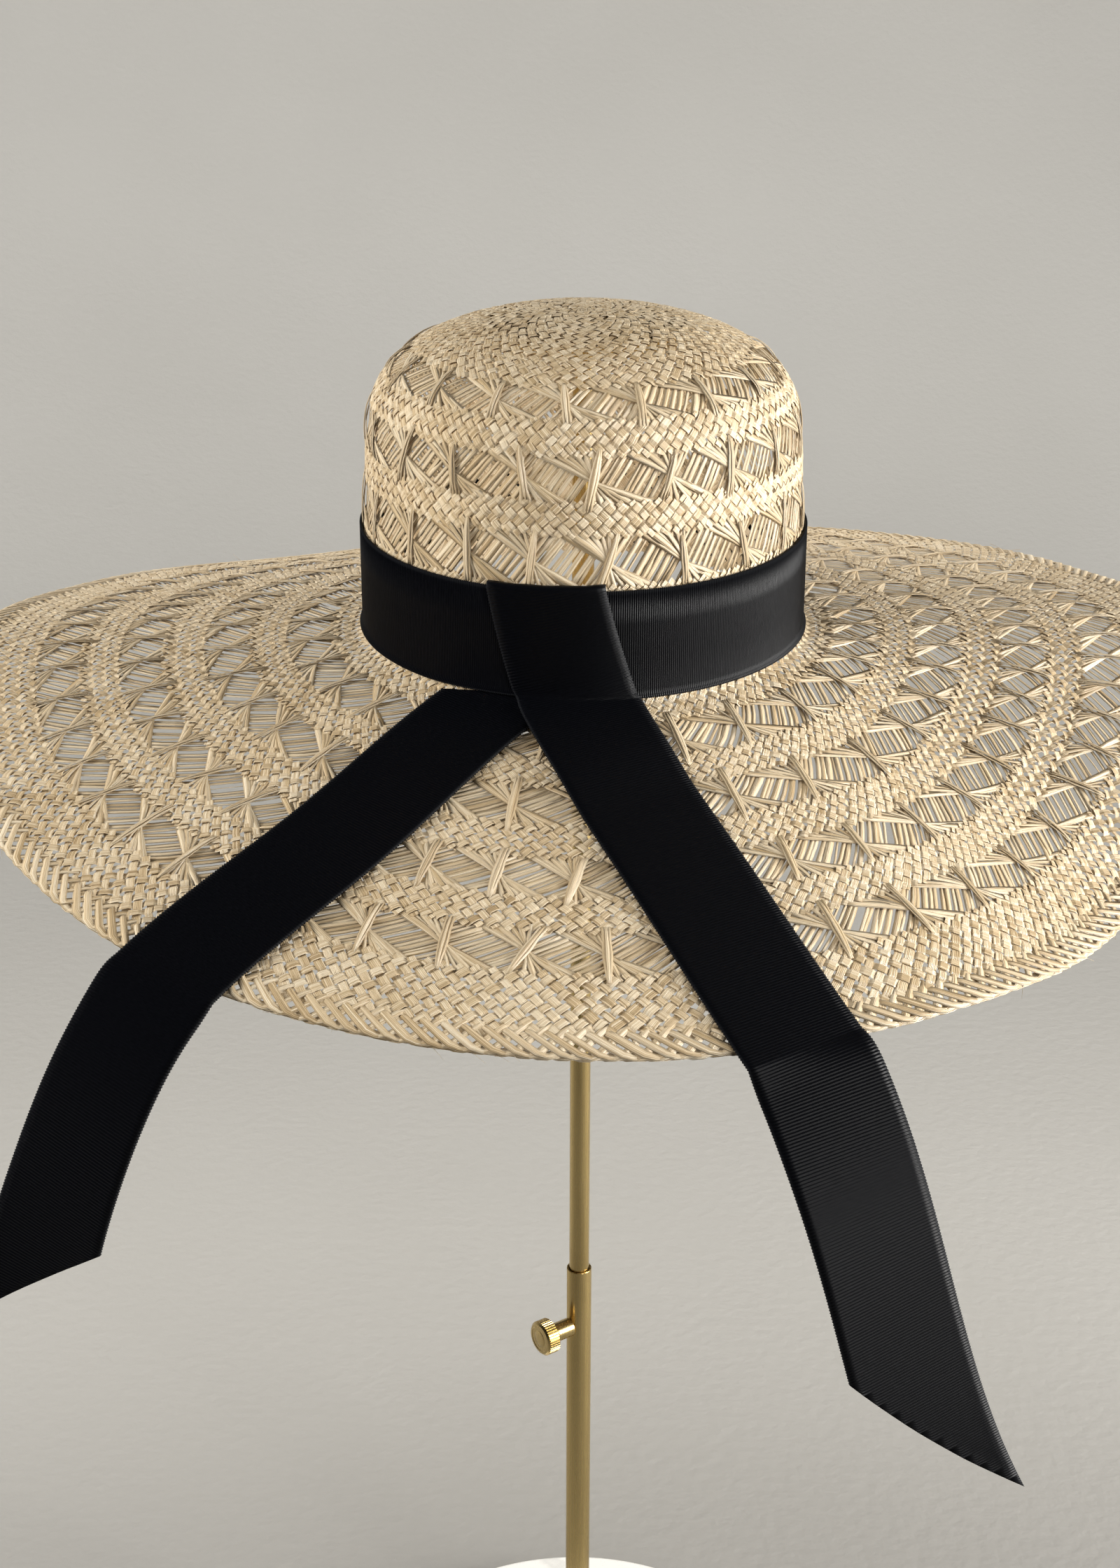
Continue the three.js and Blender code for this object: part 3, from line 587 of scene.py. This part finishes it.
def brimRim():
    look = rimBraid
    edge = hatSizes["brimWidth"]
    count = look["strands"]
    groups = []
    # Long leaning strands that fold over the edge, one layer each way
    turn = np.linspace(0, 1, 9)
    for way, inner, reach in ((1, 9.5, 2.0), (-1, 12.0, 1.35)):
        first = (np.arange(count)[:, None] + chance.normal(0, 0.07, (count, 1))) / count * fullTurn
        around = np.clip((turn - 0.5) / 0.3, 0, 1) * math.pi
        out = np.where(turn < 0.5, edge - 1.2 - inner * (1 - turn / 0.5) + 0 * turn, 0)
        out = np.where(turn >= 0.5, edge - 1.2 + 0.75 * np.sin(around) - 6 * np.clip(turn - 0.8, 0, 1), out)
        lift = weave["depth"] + 0.62 * np.cos(around) + way * 0.12
        lift = lift - 0.75 * (1 - np.clip(turn / 0.12, 0, 1))
        angle = first + way * reach * inner * (turn - 0.5) * 1.3 / 240
        width = look["width"] * (1 + chance.normal(0, 0.1, (count, 1)))
        width = width * (0.75 + 0.25 * np.sin(math.pi * turn))
        groups.append(strands(brimSurface, angle, out, lift + 0 * angle, width, 0.42, chance.random(count)))
    # Loose fibre ends
    ends = look["wisps"]
    at = np.linspace(0, 1, 5)
    first = chance.random((ends, 1)) * fullTurn
    length = look["wispLength"] * chance.uniform(0.2, 1, (ends, 1)) ** 2
    angle = first + chance.normal(0, 0.03, (ends, 1)) * at
    along = edge - 1 + length * at * chance.uniform(0.2, 1, (ends, 1))
    lift = weave["depth"] + length * at ** 1.5 * chance.normal(0, 0.3, (ends, 1))
    width = 0.22 * (1.1 - at) + 0 * angle
    groups.append(strands(brimSurface, angle, along, lift, width, 0.16, chance.random(ends)))
    piece = strandPiece("brimRim", groups, straw)
    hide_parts("brim")
    return piece


strawPieces = crownWeave() + brimWeave() + [brimRim()]
print("straw woven")


# Grosgrain

grosgrain = {
    "thickness": 0.5,
    "ribHeight": 0.22,
    "scallop": 0.22,
    "samples": 4,  # per rib
}
bandLook = {"width": 40, "foot": 1.8, "clearance": 0.3, "bulge": 1.3, "rib": 0.78}
tailLook = {
    "width": 42,
    "clearance": 0.5,
    "columns": 12,
    "rib": 1.02,
    "reachUnder": 24,  # the left tail lies under the right one this far out
    "settle": 52,
    "step": 2.0,
    "pastEdge": 0.03,
    "bowFade": 15,
    "onStraw": 0.5,  # more than the clearance
    "onBand": 2.3,
    "overLeft": 3.1,  # where the right tail passes over the left one
    "underBand": 3.5,  # where the left tail begins
    "foldRadius": 1.5,
}
rightTail = {
    "angle": 260.6, "heading": 78.1, "brimTurns": (-26.6, 2.1, -11.5), "leftDrop": 104, "rightDrop": 174,
    "share": (0, 0.07, 0.23, 0.54, 0.9),
    "bend": (596, 38, 119, 21, 0), "twist": (281, 1, -24, 11, 31), "turn": (65, 20, -16, -12, -36),
}
leftTail = {
    "angle": 252.7, "heading": 113.8, "brimTurns": (-39.2, 30.3, -43.2), "leftDrop": 135, "rightDrop": 89,
    "share": (0, 0.07, 0.215, 0.515, 0.86),
    "bend": (445, 102, 89, 35, 20), "twist": (-127, 28, -5, -14, -52), "turn": (-16, 3, 13, 5, -11),
}


def ribbonPiece(name, middle, up, run, ribLength, closed):
    rows, columns = middle.shape[:2]
    rib = 0.5 - 0.5 * np.cos(fullTurn * run / ribLength)
    across = unit(middle[:, -1] - middle[:, 0])
    scallop = grosgrain["scallop"] * (rib[:, [0, -1]] - 1)
    middle = middle.copy()
    middle[:, 0] -= across * scallop[:, :1]
    middle[:, -1] += across * scallop[:, 1:]
    tall = grosgrain["thickness"] / 2 + grosgrain["ribHeight"] * rib
    points = np.stack([middle + up * tall[..., None], middle - up * tall[..., None]], 1)
    index = np.arange(rows * 2 * columns).reshape(rows, 2, columns)
    loop = np.concatenate([index[:, 0], index[:, 1, ::-1]], 1)
    if closed:
        here, there = loop, np.roll(loop, -1, axis=0)
    else:
        here, there = loop[:-1], loop[1:]
    faces = np.stack([here, np.roll(here, -1, 1), np.roll(there, -1, 1), there], -1).reshape(-1, 4)
    flat = points.reshape(-1, 3)
    if not closed:
        first, last = loop[0], loop[-1]
        caps = [[first[k], first[-1 - k], first[-2 - k], first[k + 1]] for k in range(columns - 1)]
        caps += [[last[k], last[k + 1], last[-2 - k], last[-1 - k]] for k in range(columns - 1)]
        faces = np.concatenate([faces, np.array(caps)])
    acrossAt = np.broadcast_to(np.linspace(0, 1, columns) * tailLook["width"], (rows, columns))
    uv = np.stack([run, acrossAt], -1)
    uv = np.stack([uv, uv], 1).reshape(-1, 2)
    obj = meshObject(name, flat, faces, uv)
    bpy.context.view_layer.objects.active = obj
    obj.select_set(True)
    bpy.ops.object.mode_set(mode="EDIT")
    bpy.ops.mesh.select_all(action="SELECT")
    bpy.ops.mesh.remove_doubles(threshold=0.00001)
    bpy.ops.mesh.dissolve_degenerate(threshold=0.00001)
    bpy.ops.object.mode_set(mode="OBJECT")
    obj.select_set(False)
    obj.data.materials.append(ribbon)
    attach(obj, "root")
    print(name, triangleCount(obj), "triangles")
    return obj


def makeBand():
    look = bandLook
    radius = hatSizes["bendRadius"]
    angle = np.linspace(0, fullTurn, 4001)
    outline = aroundOval(angle, look["clearance"], 0)
    run = np.concatenate([[0], np.cumsum(np.linalg.norm(np.diff(outline, axis=0), axis=1))])
    ribs = round(run[-1] / look["rib"])
    rows = ribs * grosgrain["samples"]
    at = np.arange(rows) / rows
    angle = np.interp(at * run[-1], run, angle)[:, None]
    tall = grosgrain["thickness"] / 2 + grosgrain["ribHeight"]
    # The foot flares over the bend and rides up where the left tail comes out from under it
    offset = (angle - math.radians(leftTail["angle"])) * meanRadius
    under = look["bulge"] * np.clip(1.6 - np.abs(offset) / (tailLook["width"] / 2), 0, 1)
    rise = look["clearance"] + tall
    flare = math.asin((radius - look["foot"]) / (radius - look["clearance"]))
    parts = []
    for turn in (flare, flare * 0.66, flare * 0.33, 0):
        lift = rise + under * turn / flare
        reach = radius - lift
        parts.append(aroundOval(angle, radius - reach * math.cos(turn), radius - reach * math.sin(turn)))
    for height in np.linspace(radius, look["foot"] + look["width"], 4)[1:]:
        parts.append(aroundOval(angle, rise, height))
    middle = np.concatenate(parts, 1)[:, ::-1]
    along = np.roll(middle, -1, 0) - np.roll(middle, 1, 0)
    acrossDir = np.gradient(middle, axis=1)
    up = unit(np.cross(acrossDir, along))
    runs = np.broadcast_to((at * ribs * look["rib"])[:, None], middle.shape[:2])
    obj = ribbonPiece("hatRibbon", middle, up, runs, look["rib"], True)
    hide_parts("hatband")
    return obj


def walk(angle, along, heading, length, lift, steps, turnRate=0.0):
    step = length / steps
    probe = 0.01

    def roundAt(at):
        gap = brimSurface(angle + probe, at, lift) - brimSurface(angle - probe, at, lift)
        return np.linalg.norm(gap, axis=-1) / (2 * probe)

    for _ in range(steps):
        around = roundAt(along)
        spread = roundAt(along + 1) - around
        turned = np.cos(heading) * step / around
        along = along + np.sin(heading) * step
        angle = angle + turned
        heading = heading + turned * spread + turnRate * step
    return angle, along, heading


def turnedBy(vector, axis, angle):
    along = axis * axis.dot(vector)
    return vector * math.cos(angle) + np.cross(axis, vector) * math.sin(angle) + along * (1 - math.cos(angle))


def tailGrid(tail, liftAt, startAlong):
    look = tailLook
    step, width, edge = look["step"], look["width"], hatSizes["brimWidth"]
    side = np.linspace(-0.5, 0.5, look["columns"] + 1)
    state = (math.radians(tail["angle"]), startAlong, math.radians(tail["heading"]))
    states = []
    while state[1] < edge * (1 + look["pastEdge"]):
        lift = liftAt(state[1])
        states.append((*state, lift))
        share = max(state[1], 0) / edge
        rate = math.radians(np.interp(share, (0, 0.5, 1), tail["brimTurns"])) / edge
        state = walk(*state, step, lift, 1, rate)
    states = np.array(states)
    angle, along, heading, lift = (states[:, k, None] for k in range(4))
    aside = side[None] * width
    heading = heading + np.where(aside > 0, -math.pi / 2, math.pi / 2)
    angle, along, _ = walk(angle + 0 * aside, along + 0 * aside, heading, np.abs(aside), lift + 0 * aside, 6)
    onHat = brimSurface(angle, along, lift)
    last = len(onHat) - 1
    middleColumn = look["columns"] // 2
    place = onHat[last, middleColumn]
    ahead = unit(place - onHat[last - 1, middleColumn])
    across = onHat[last, -1] - onHat[last, 0]
    across = unit(across - ahead * across.dot(ahead))
    bow = np.linalg.norm(place - (onHat[last, 0] + onHat[last, -1]) / 2)
    reach = max(tail["leftDrop"], tail["rightDrop"])
    count = math.ceil(reach / step)
    hanging = []
    for i in range(count + 1):
        share = (i + 0.5) / count
        bend, twist, turn = (math.radians(np.interp(share, tail["share"], tail[key])) * step / reach
                             for key in ("bend", "twist", "turn"))
        ahead = turnedBy(ahead, across, bend)
        under = np.cross(across, ahead)
        ahead, across = turnedBy(ahead, under, turn), turnedBy(across, under, turn)
        across = turnedBy(across, ahead, twist)
        place = place + ahead * step
        face = np.cross(ahead, across)
        dip = bow * math.exp(-(i + 1) * step / look["bowFade"]) * (2 * side) ** 2
        hanging.append(place + across * (side * width)[:, None] - face * dip[:, None])
    return np.concatenate([onHat, np.array(hanging)]), angle, along, lift, last * step


def sampleGrid(grid, at):
    at = np.clip(at / tailLook["step"], 0, len(grid) - 1.001)
    i = np.floor(at).astype(int)
    t = (at - i)[..., None]
    column = np.arange(grid.shape[1])
    return grid[i, column] * (1 - t) + grid[i + 1, column] * t


def makeTail(name, nodeName, tail, grid, start, edgeAt, fold=None):
    look = tailLook
    side = np.linspace(-0.5, 0.5, look["columns"] + 1)
    stop = edgeAt + tail["leftDrop"] + (tail["rightDrop"] - tail["leftDrop"]) * (side + 0.5)
    first, longest = start.min(), stop.max()
    rows = math.ceil((longest - first) / look["rib"] * grosgrain["samples"])
    place = np.linspace(first, longest, rows + 1)[:, None]
    run = np.clip(place, start, stop)
    up = unit(np.cross(np.gradient(grid, axis=0), np.gradient(grid, axis=1)))
    middle = sampleGrid(grid, run)
    normal = unit(sampleGrid(up, run))
    if fold is not None:
        middle, normal, run = fold(middle, normal, run)
    obj = ribbonPiece(name, middle, normal, run, look["rib"], False)
    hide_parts(nodeName)
    return obj


def makeTails():
    look = tailLook
    radius = hatSizes["bendRadius"]
    onStraw = look["clearance"] + look["onStraw"]
    onBand = look["onBand"]

    def smooth(low, high, x):
        t = min(max((x - low) / (high - low), 0), 1)
        return t * t * (3 - 2 * t)

    def rightLift(along):
        raised = onBand + (look["overLeft"] - onBand) * smooth(-1.8 * radius, -0.8 * radius, along)
        return raised + (onStraw - raised) * smooth(look["reachUnder"], look["settle"], along)

    heading = math.radians(rightTail["heading"])
    bend = radius * (math.pi / 2 - droopAt(math.radians(rightTail["angle"])))
    top = bandLook["foot"] + bandLook["width"] - radius
    skew = math.cos(heading) * look["width"] / 2
    grid, _, _, _, edgeAt = tailGrid(rightTail, rightLift, -(bend + top + skew))
    side = np.linspace(-0.5, 0.5, look["columns"] + 1)
    start = look["width"] / math.tan(heading) * (side + 0.5)

    def foldOver(middle, normal, run):
        # Back over the band's top edge, towards the crown
        foldRadius = look["foldRadius"]
        turns = np.radians((90, 60, 30))
        base, out, above = middle[0], normal[0], np.array([0, 0, 1])
        rows = [base + out * foldRadius * (math.cos(t) - 1) + above * foldRadius * math.sin(t) for t in turns]
        ups = [unit(out * math.cos(t) + above * math.sin(t)) for t in turns]
        extra = np.array([run[0] - foldRadius * t for t in turns])
        return np.concatenate([rows, middle]), np.concatenate([ups, normal]), np.concatenate([extra, run])

    right = makeTail("tailRightRibbon", "tail_right", rightTail, grid, start, edgeAt, foldOver)

    slant = math.radians(leftTail["heading"] - 90)
    begin = -look["underBand"] - math.sin(slant) * look["width"] / 2

    def leftLift(along):
        return 0.6 + (onStraw - 0.6) * smooth(-2, 6, along)

    grid, _, _, _, edgeAt = tailGrid(leftTail, leftLift, begin)
    start = look["width"] * math.tan(slant) * (0.5 - side)
    left = makeTail("tailLeftRibbon", "tail_left", leftTail, grid, start, edgeAt)
    return right, left


bandPiece = makeBand()
tailPieces = makeTails()
print("ribbons made")


# The stand

standLook = {
    "sides": 64,
    "mastRadius": 4.3,
    "mastEdge": 0.4,
    "sleeveRadius": 5.4,
    "bore": 4.6,
    "lip": 0.3,  # rounding of the sleeve's mouth
    "bossRadius": 4.1,
    "bossReach": 13,
    "bossEdge": 0.3,
    "bossHole": 4,  # depth
    "screwDrop": 29,  # below the sleeve's top
    "screwBearing": 216,
    "threadRadius": 1.6,
    "knobFrom": 15.2,
    "knobThickness": 5.2,
    "knobRadius": 7.4,
    "knurls": 44,
    "knurlDepth": 0.28,
    "knurlEdge": 0.22,
    "knobFront": 0.7,  # bevel
    "knobRings": ((1.0, 0.12), (0.25, -0.2), (1.6, 0.0), (0.2, 0.15), (1.6, 0.1)),  # width and depth
    "baseSides": 160,
    "baseEdge": 2.5,
    "socket": 5.7,
    "socketDepth": 12,
}


def cylinder(name, radius, low, high, sides, place=(0, 0, 0), direction=(0, 0, 1)):
    direction = Vector(direction)
    middle = Vector(place) + direction * ((low + high) / 2)
    turn = direction.to_track_quat("Z", "Y").to_euler()
    bpy.ops.mesh.primitive_cylinder_add(vertices=sides, radius=radius * mm, depth=(high - low) * mm,
                                        location=middle * mm, rotation=turn)
    obj = bpy.context.active_object
    obj.name = name
    bpy.ops.object.transform_apply(location=True, rotation=True, scale=True)
    return obj


def selectFaces(obj, test):
    bpy.ops.object.mode_set(mode="EDIT")
    bpy.ops.mesh.select_mode(type="FACE")
    bpy.ops.mesh.select_all(action="DESELECT")
    bpy.ops.object.mode_set(mode="OBJECT")
    for face in obj.data.polygons:
        face.select = test(face)
    bpy.ops.object.mode_set(mode="EDIT")


def bevelRims(obj, test, width, segments):
    selectFaces(obj, test)
    bpy.ops.mesh.region_to_loop()
    bpy.ops.mesh.bevel(offset=width * mm, segments=segments, affect="EDGES")
    bpy.ops.object.mode_set(mode="OBJECT")


def finishHard(obj, material, nodeName):
    bpy.ops.object.mode_set(mode="OBJECT")
    bpy.ops.object.shade_smooth_by_angle(angle=math.radians(35))
    obj.data.materials.append(material)
    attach(obj, "root")
    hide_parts(nodeName)
    obj.select_set(False)
    print(obj.name, triangleCount(obj), "triangles")


def facing(direction):
    direction = Vector(direction)
    return lambda face: face.normal.dot(direction) > 0.99


def makeMast():
    low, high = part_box("stand_mast")
    mast = cylinder("mast", standLook["mastRadius"], low.z / mm, high.z / mm, standLook["sides"])
    bevelRims(mast, facing((0, 0, 1)), standLook["mastEdge"], 3)
    finishHard(mast, brass, "stand_mast")


def screwFrame():
    bearing = math.radians(standLook["screwBearing"])
    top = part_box("stand_sleeve")[1].z / mm
    return (0, 0, top - standLook["screwDrop"]), (math.cos(bearing), math.sin(bearing), 0)


def makeSleeve():
    look = standLook
    low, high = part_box("stand_sleeve")
    place, direction = screwFrame()
    boss = cylinder("boss", look["bossRadius"], look["bore"] + 0.4, look["bossReach"], 40, place, direction)
    selectFaces(boss, facing(direction))
    edge = look["bossEdge"]
    bpy.ops.mesh.inset(thickness=edge * mm, depth=edge * mm)
    bpy.ops.mesh.inset(thickness=(look["bossRadius"] - edge - look["threadRadius"] - edge) * mm)
    inwards = Vector(direction) * -look["bossHole"] * mm
    bpy.ops.mesh.extrude_region_move(TRANSFORM_OT_translate={"value": inwards})
    bpy.ops.object.mode_set(mode="OBJECT")
    boss.select_set(False)
    sleeve = cylinder("sleeve", look["sleeveRadius"], low.z / mm, high.z / mm, look["sides"])
    selectFaces(sleeve, lambda face: abs(face.normal.z) > 0.99)
    bpy.ops.mesh.inset(thickness=(look["sleeveRadius"] - look["bore"]) * mm)
    bpy.ops.mesh.bridge_edge_loops()
    bpy.ops.object.mode_set(mode="OBJECT")
    bevelRims(sleeve, facing((0, 0, 1)), look["lip"], 3)
    boss.select_set(True)
    sleeve.select_set(True)
    bpy.context.view_layer.objects.active = sleeve
    bpy.ops.object.join()
    finishHard(sleeve, brass, "stand_sleeve")


def makeScrew():
    look = standLook
    place, direction = screwFrame()
    start, stop = look["knobFrom"], look["knobFrom"] + look["knobThickness"]
    shaft = cylinder("shaft", look["threadRadius"], look["bore"], start + 1, 24, place, direction)
    shaft.select_set(False)
    knob = cylinder("screw", look["knobRadius"], start, stop, look["knurls"], place, direction)
    along = Vector(direction)
    selectFaces(knob, lambda face: abs(face.normal.dot(along)) < 0.5)
    bpy.ops.mesh.inset(thickness=look["knurlEdge"] * mm, depth=look["knurlDepth"] * mm, use_individual=True)
    bpy.ops.object.mode_set(mode="OBJECT")
    selectFaces(knob, facing(direction))
    bpy.ops.mesh.inset(thickness=look["knobFront"] * mm, depth=look["knobFront"] * mm)
    for width, depth in look["knobRings"]:
        bpy.ops.mesh.inset(thickness=width * mm, depth=depth * mm)
    bpy.ops.object.mode_set(mode="OBJECT")
    selectFaces(knob, facing(-along))
    bpy.ops.mesh.inset(thickness=0.8 * mm, depth=0.6 * mm)
    bpy.ops.object.mode_set(mode="OBJECT")
    shaft.select_set(True)
    knob.select_set(True)
    bpy.context.view_layer.objects.active = knob
    bpy.ops.object.join()
    finishHard(knob, brass, "stand_screw")


def makeBase():
    look = standLook
    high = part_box("stand_base")[1]
    radius, thickness = high.x / mm, high.z / mm
    base = cylinder("base", radius, 0, thickness, look["baseSides"])
    bevelRims(base, facing((0, 0, -1)), look["baseEdge"], 5)
    bevelRims(base, facing((0, 0, 1)), look["baseEdge"], 5)
    selectFaces(base, lambda face: face.normal.z > 0.99 and len(face.vertices) > 8)
    bpy.ops.mesh.inset(thickness=(radius - look["baseEdge"] - look["socket"]) * mm)
    bpy.ops.mesh.extrude_region_move(TRANSFORM_OT_translate={"value": (0, 0, -look["socketDepth"] * mm)})
    finishHard(base, stone, "stand_base")


makeMast()
makeSleeve()
makeScrew()
makeBase()
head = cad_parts["stand_head"]
head.data.materials.clear()
head.data.materials.append(brass)
print("stand dressed")


# Camera, floor, backdrop and light

cameraLook = {
    "place": (0, -875.23, 842.35),
    "pitch": 21.968,  # degrees down
    "yaw": -0.5725,
    "roll": 0.11,
    "focal": 54.16,
}


def makeCamera():
    data = bpy.data.cameras.new("camera")
    data.lens = cameraLook["focal"]
    data.sensor_width = 36
    camera = bpy.data.objects.new("camera", data)
    bpy.context.collection.objects.link(camera)
    camera.location = Vector(cameraLook["place"]) * mm
    pitch, yaw = math.radians(cameraLook["pitch"]), math.radians(cameraLook["yaw"])
    forward = Vector((math.sin(yaw) * math.cos(pitch), math.cos(yaw) * math.cos(pitch), -math.sin(pitch)))
    turn = forward.to_track_quat("-Z", "Y").to_matrix().to_4x4()
    turn = turn @ Matrix.Rotation(math.radians(cameraLook["roll"]), 4, "Z")
    camera.rotation_euler = turn.to_euler()
    bpy.context.scene.camera = camera


studio = {
    "wall": (0.53, 0.518, 0.492, 1),
    "blotch": (0.50, 0.488, 0.462, 1),
    "floor": (0.68, 0.675, 0.665, 1),  # its share of the wall's colour: painted shade that offsets the light the floor gets from above
    "floorEdge": (0.9, 2.3),  # metres from the middle, where the floor's tone turns into the wall's
    "front": (0.13, 0.13, 0.135, 1),  # painted shade: the wall behind the camera is darkened as if it lay in the dark
    "frontFloor": 0.55,  # how far the floor follows this painted shade
    "frontEdge": (-0.35, 0.45),
    "highShadeEdge": (0.9, 1.7),  # painted shade on the wall's upper part too
    "floorRadius": 1300,
    "coveRadius": 1300,
    "wallTop": 3000,
    "sides": 96,
}


def makeStage():
    material, tree, shader = newMaterial("plaster")
    place = node(tree, "ShaderNodeTexCoord", {}).outputs["Object"]
    colour = colourRamp(tree, noise(tree, place, 2.2, 3.0), (0.3, studio["blotch"]), (0.7, studio["wall"]))
    away = node(tree, "ShaderNodeVectorMath", {0: place}, operation="LENGTH").outputs["Value"]
    # Painted shade: the floor is darker near the middle, to offset the light it gets from above
    onFloor = ranged(tree, away, *studio["floorEdge"], 1.0, 0.0)
    mixed = {"Factor": onFloor, "A": colour, "B": studio["floor"]}
    mixed = node(tree, "ShaderNodeMix", mixed, data_type="RGBA", blend_type="MULTIPLY").outputs["Result"]
    depth = node(tree, "ShaderNodeSeparateXYZ", {"Vector": place}).outputs["Y"]
    height = node(tree, "ShaderNodeSeparateXYZ", {"Vector": place}).outputs["Z"]
    # Painted shade: the front of the stage and the wall's upper part are darkened in colour, as if they lay in the
    # dark
    inFront = maths(tree, "MULTIPLY", ranged(tree, depth, *studio["frontEdge"], 1.0, 0.0),
                    ranged(tree, height, 0.0, 0.5, studio["frontFloor"], 1.0))
    paintedShade = maths(tree, "MAXIMUM", inFront, ranged(tree, height, *studio["highShadeEdge"], 0.0, 1.0))
    mixed = {"Factor": paintedShade, "A": mixed, "B": studio["front"]}
    mixed = node(tree, "ShaderNodeMix", mixed, data_type="RGBA", blend_type="MULTIPLY").outputs["Result"]
    tree.links.new(mixed, shader.inputs["Base Color"])
    grain = {"Height": noise(tree, place, 130.0, 2.0), "Strength": 0.35, "Distance": 0.002}
    bump = node(tree, "ShaderNodeBump", grain)
    tree.links.new(bump.outputs[0], shader.inputs["Normal"])
    shader.inputs["Roughness"].default_value = 0.85
    shader.inputs["Specular IOR Level"].default_value = 0.2
    # A round floor that curves up into a wall
    floor, cove, top = studio["floorRadius"], studio["coveRadius"], studio["wallTop"]
    outline = [(floor / 2, 0), (floor, 0)]
    outline += [(floor + cove * math.sin(t), cove - cove * math.cos(t)) for t in np.radians(range(6, 91, 6))]
    outline.append((floor + cove, top))
    turn = np.arange(studio["sides"]) / studio["sides"] * fullTurn
    points = [[r * math.cos(t), r * math.sin(t), z] for r, z in outline for t in turn]
    count = studio["sides"]
    faces = []
    for k in range(len(outline) - 1):
        low, high = k * count, (k + 1) * count
        faces += [(low + i, high + i, high + (i + 1) % count, low + (i + 1) % count) for i in range(count)]
    faces.append(tuple(range(count)))
    mesh = bpy.data.meshes.new("backdrop")
    mesh.from_pydata(np.array(points) * mm, [], faces)
    mesh.shade_smooth()
    backdrop = bpy.data.objects.new("backdrop", mesh)
    backdrop.data.materials.append(material)
    bpy.context.collection.objects.link(backdrop)


# Width and height of each lamp; the one inside the crown stands for light that comes through the straw
lights = (
    {"name": "windowLight", "place": (1550, -350, 740), "aim": (0, 0, 560),
     "size": (900, 900), "power": 54},
    {"name": "stripLight", "place": (1050, -1600, 850), "aim": (0, 0, 450),
     "size": (420, 1500), "power": 14.5},
    {"name": "leftLight", "place": (-1600, -200, 950), "aim": (0, 0, 560),
     "size": (900, 1000), "power": 38},
    {"name": "topLight", "place": (-600, -300, 2000), "aim": (0, 0, 560),
     "size": (1200, 1200), "power": 8},
    {"name": "wallLight", "place": (0, 300, 1300), "aim": (0, 2600, 200),
     "size": (1600, 500), "power": 13.5},
    {"name": "throughStraw", "place": (0, 0, 600), "aim": (0, 0, 560),
     "size": (60, 60), "power": 0.2},
)
lightColour = (1.0, 0.985, 0.955)
worldLook = {"colour": (0.97, 0.98, 1.0, 1), "strength": 0.06}


def makeLights():
    for look in lights:
        wide, tall = look["size"]
        inside = wide < 100
        data = bpy.data.lights.new(look["name"], "POINT" if inside else "AREA")
        if inside:
            data.shadow_soft_size = wide / 2 * mm
        else:
            data.shape = "RECTANGLE"
            data.size, data.size_y = wide * mm, tall * mm
        data.energy = look["power"]
        data.color = lightColour
        lamp = bpy.data.objects.new(look["name"], data)
        bpy.context.collection.objects.link(lamp)
        lamp.location = Vector(look["place"]) * mm
        aim = Vector(look["aim"]) * mm - lamp.location
        lamp.rotation_euler = aim.to_track_quat("-Z", "Y").to_euler()
        lamp.visible_camera = False
        lamp.visible_glossy = look["name"] not in ("leftLight", "topLight")
    world = bpy.data.worlds.new("softLight")
    bpy.context.scene.world = world
    world.use_nodes = True
    background = world.node_tree.nodes["Background"]
    background.inputs["Color"].default_value = worldLook["colour"]
    background.inputs["Strength"].default_value = worldLook["strength"]
    bpy.context.scene.view_settings.view_transform = "Standard"


makeCamera()
makeStage()
makeLights()
print("camera, stage and light made")
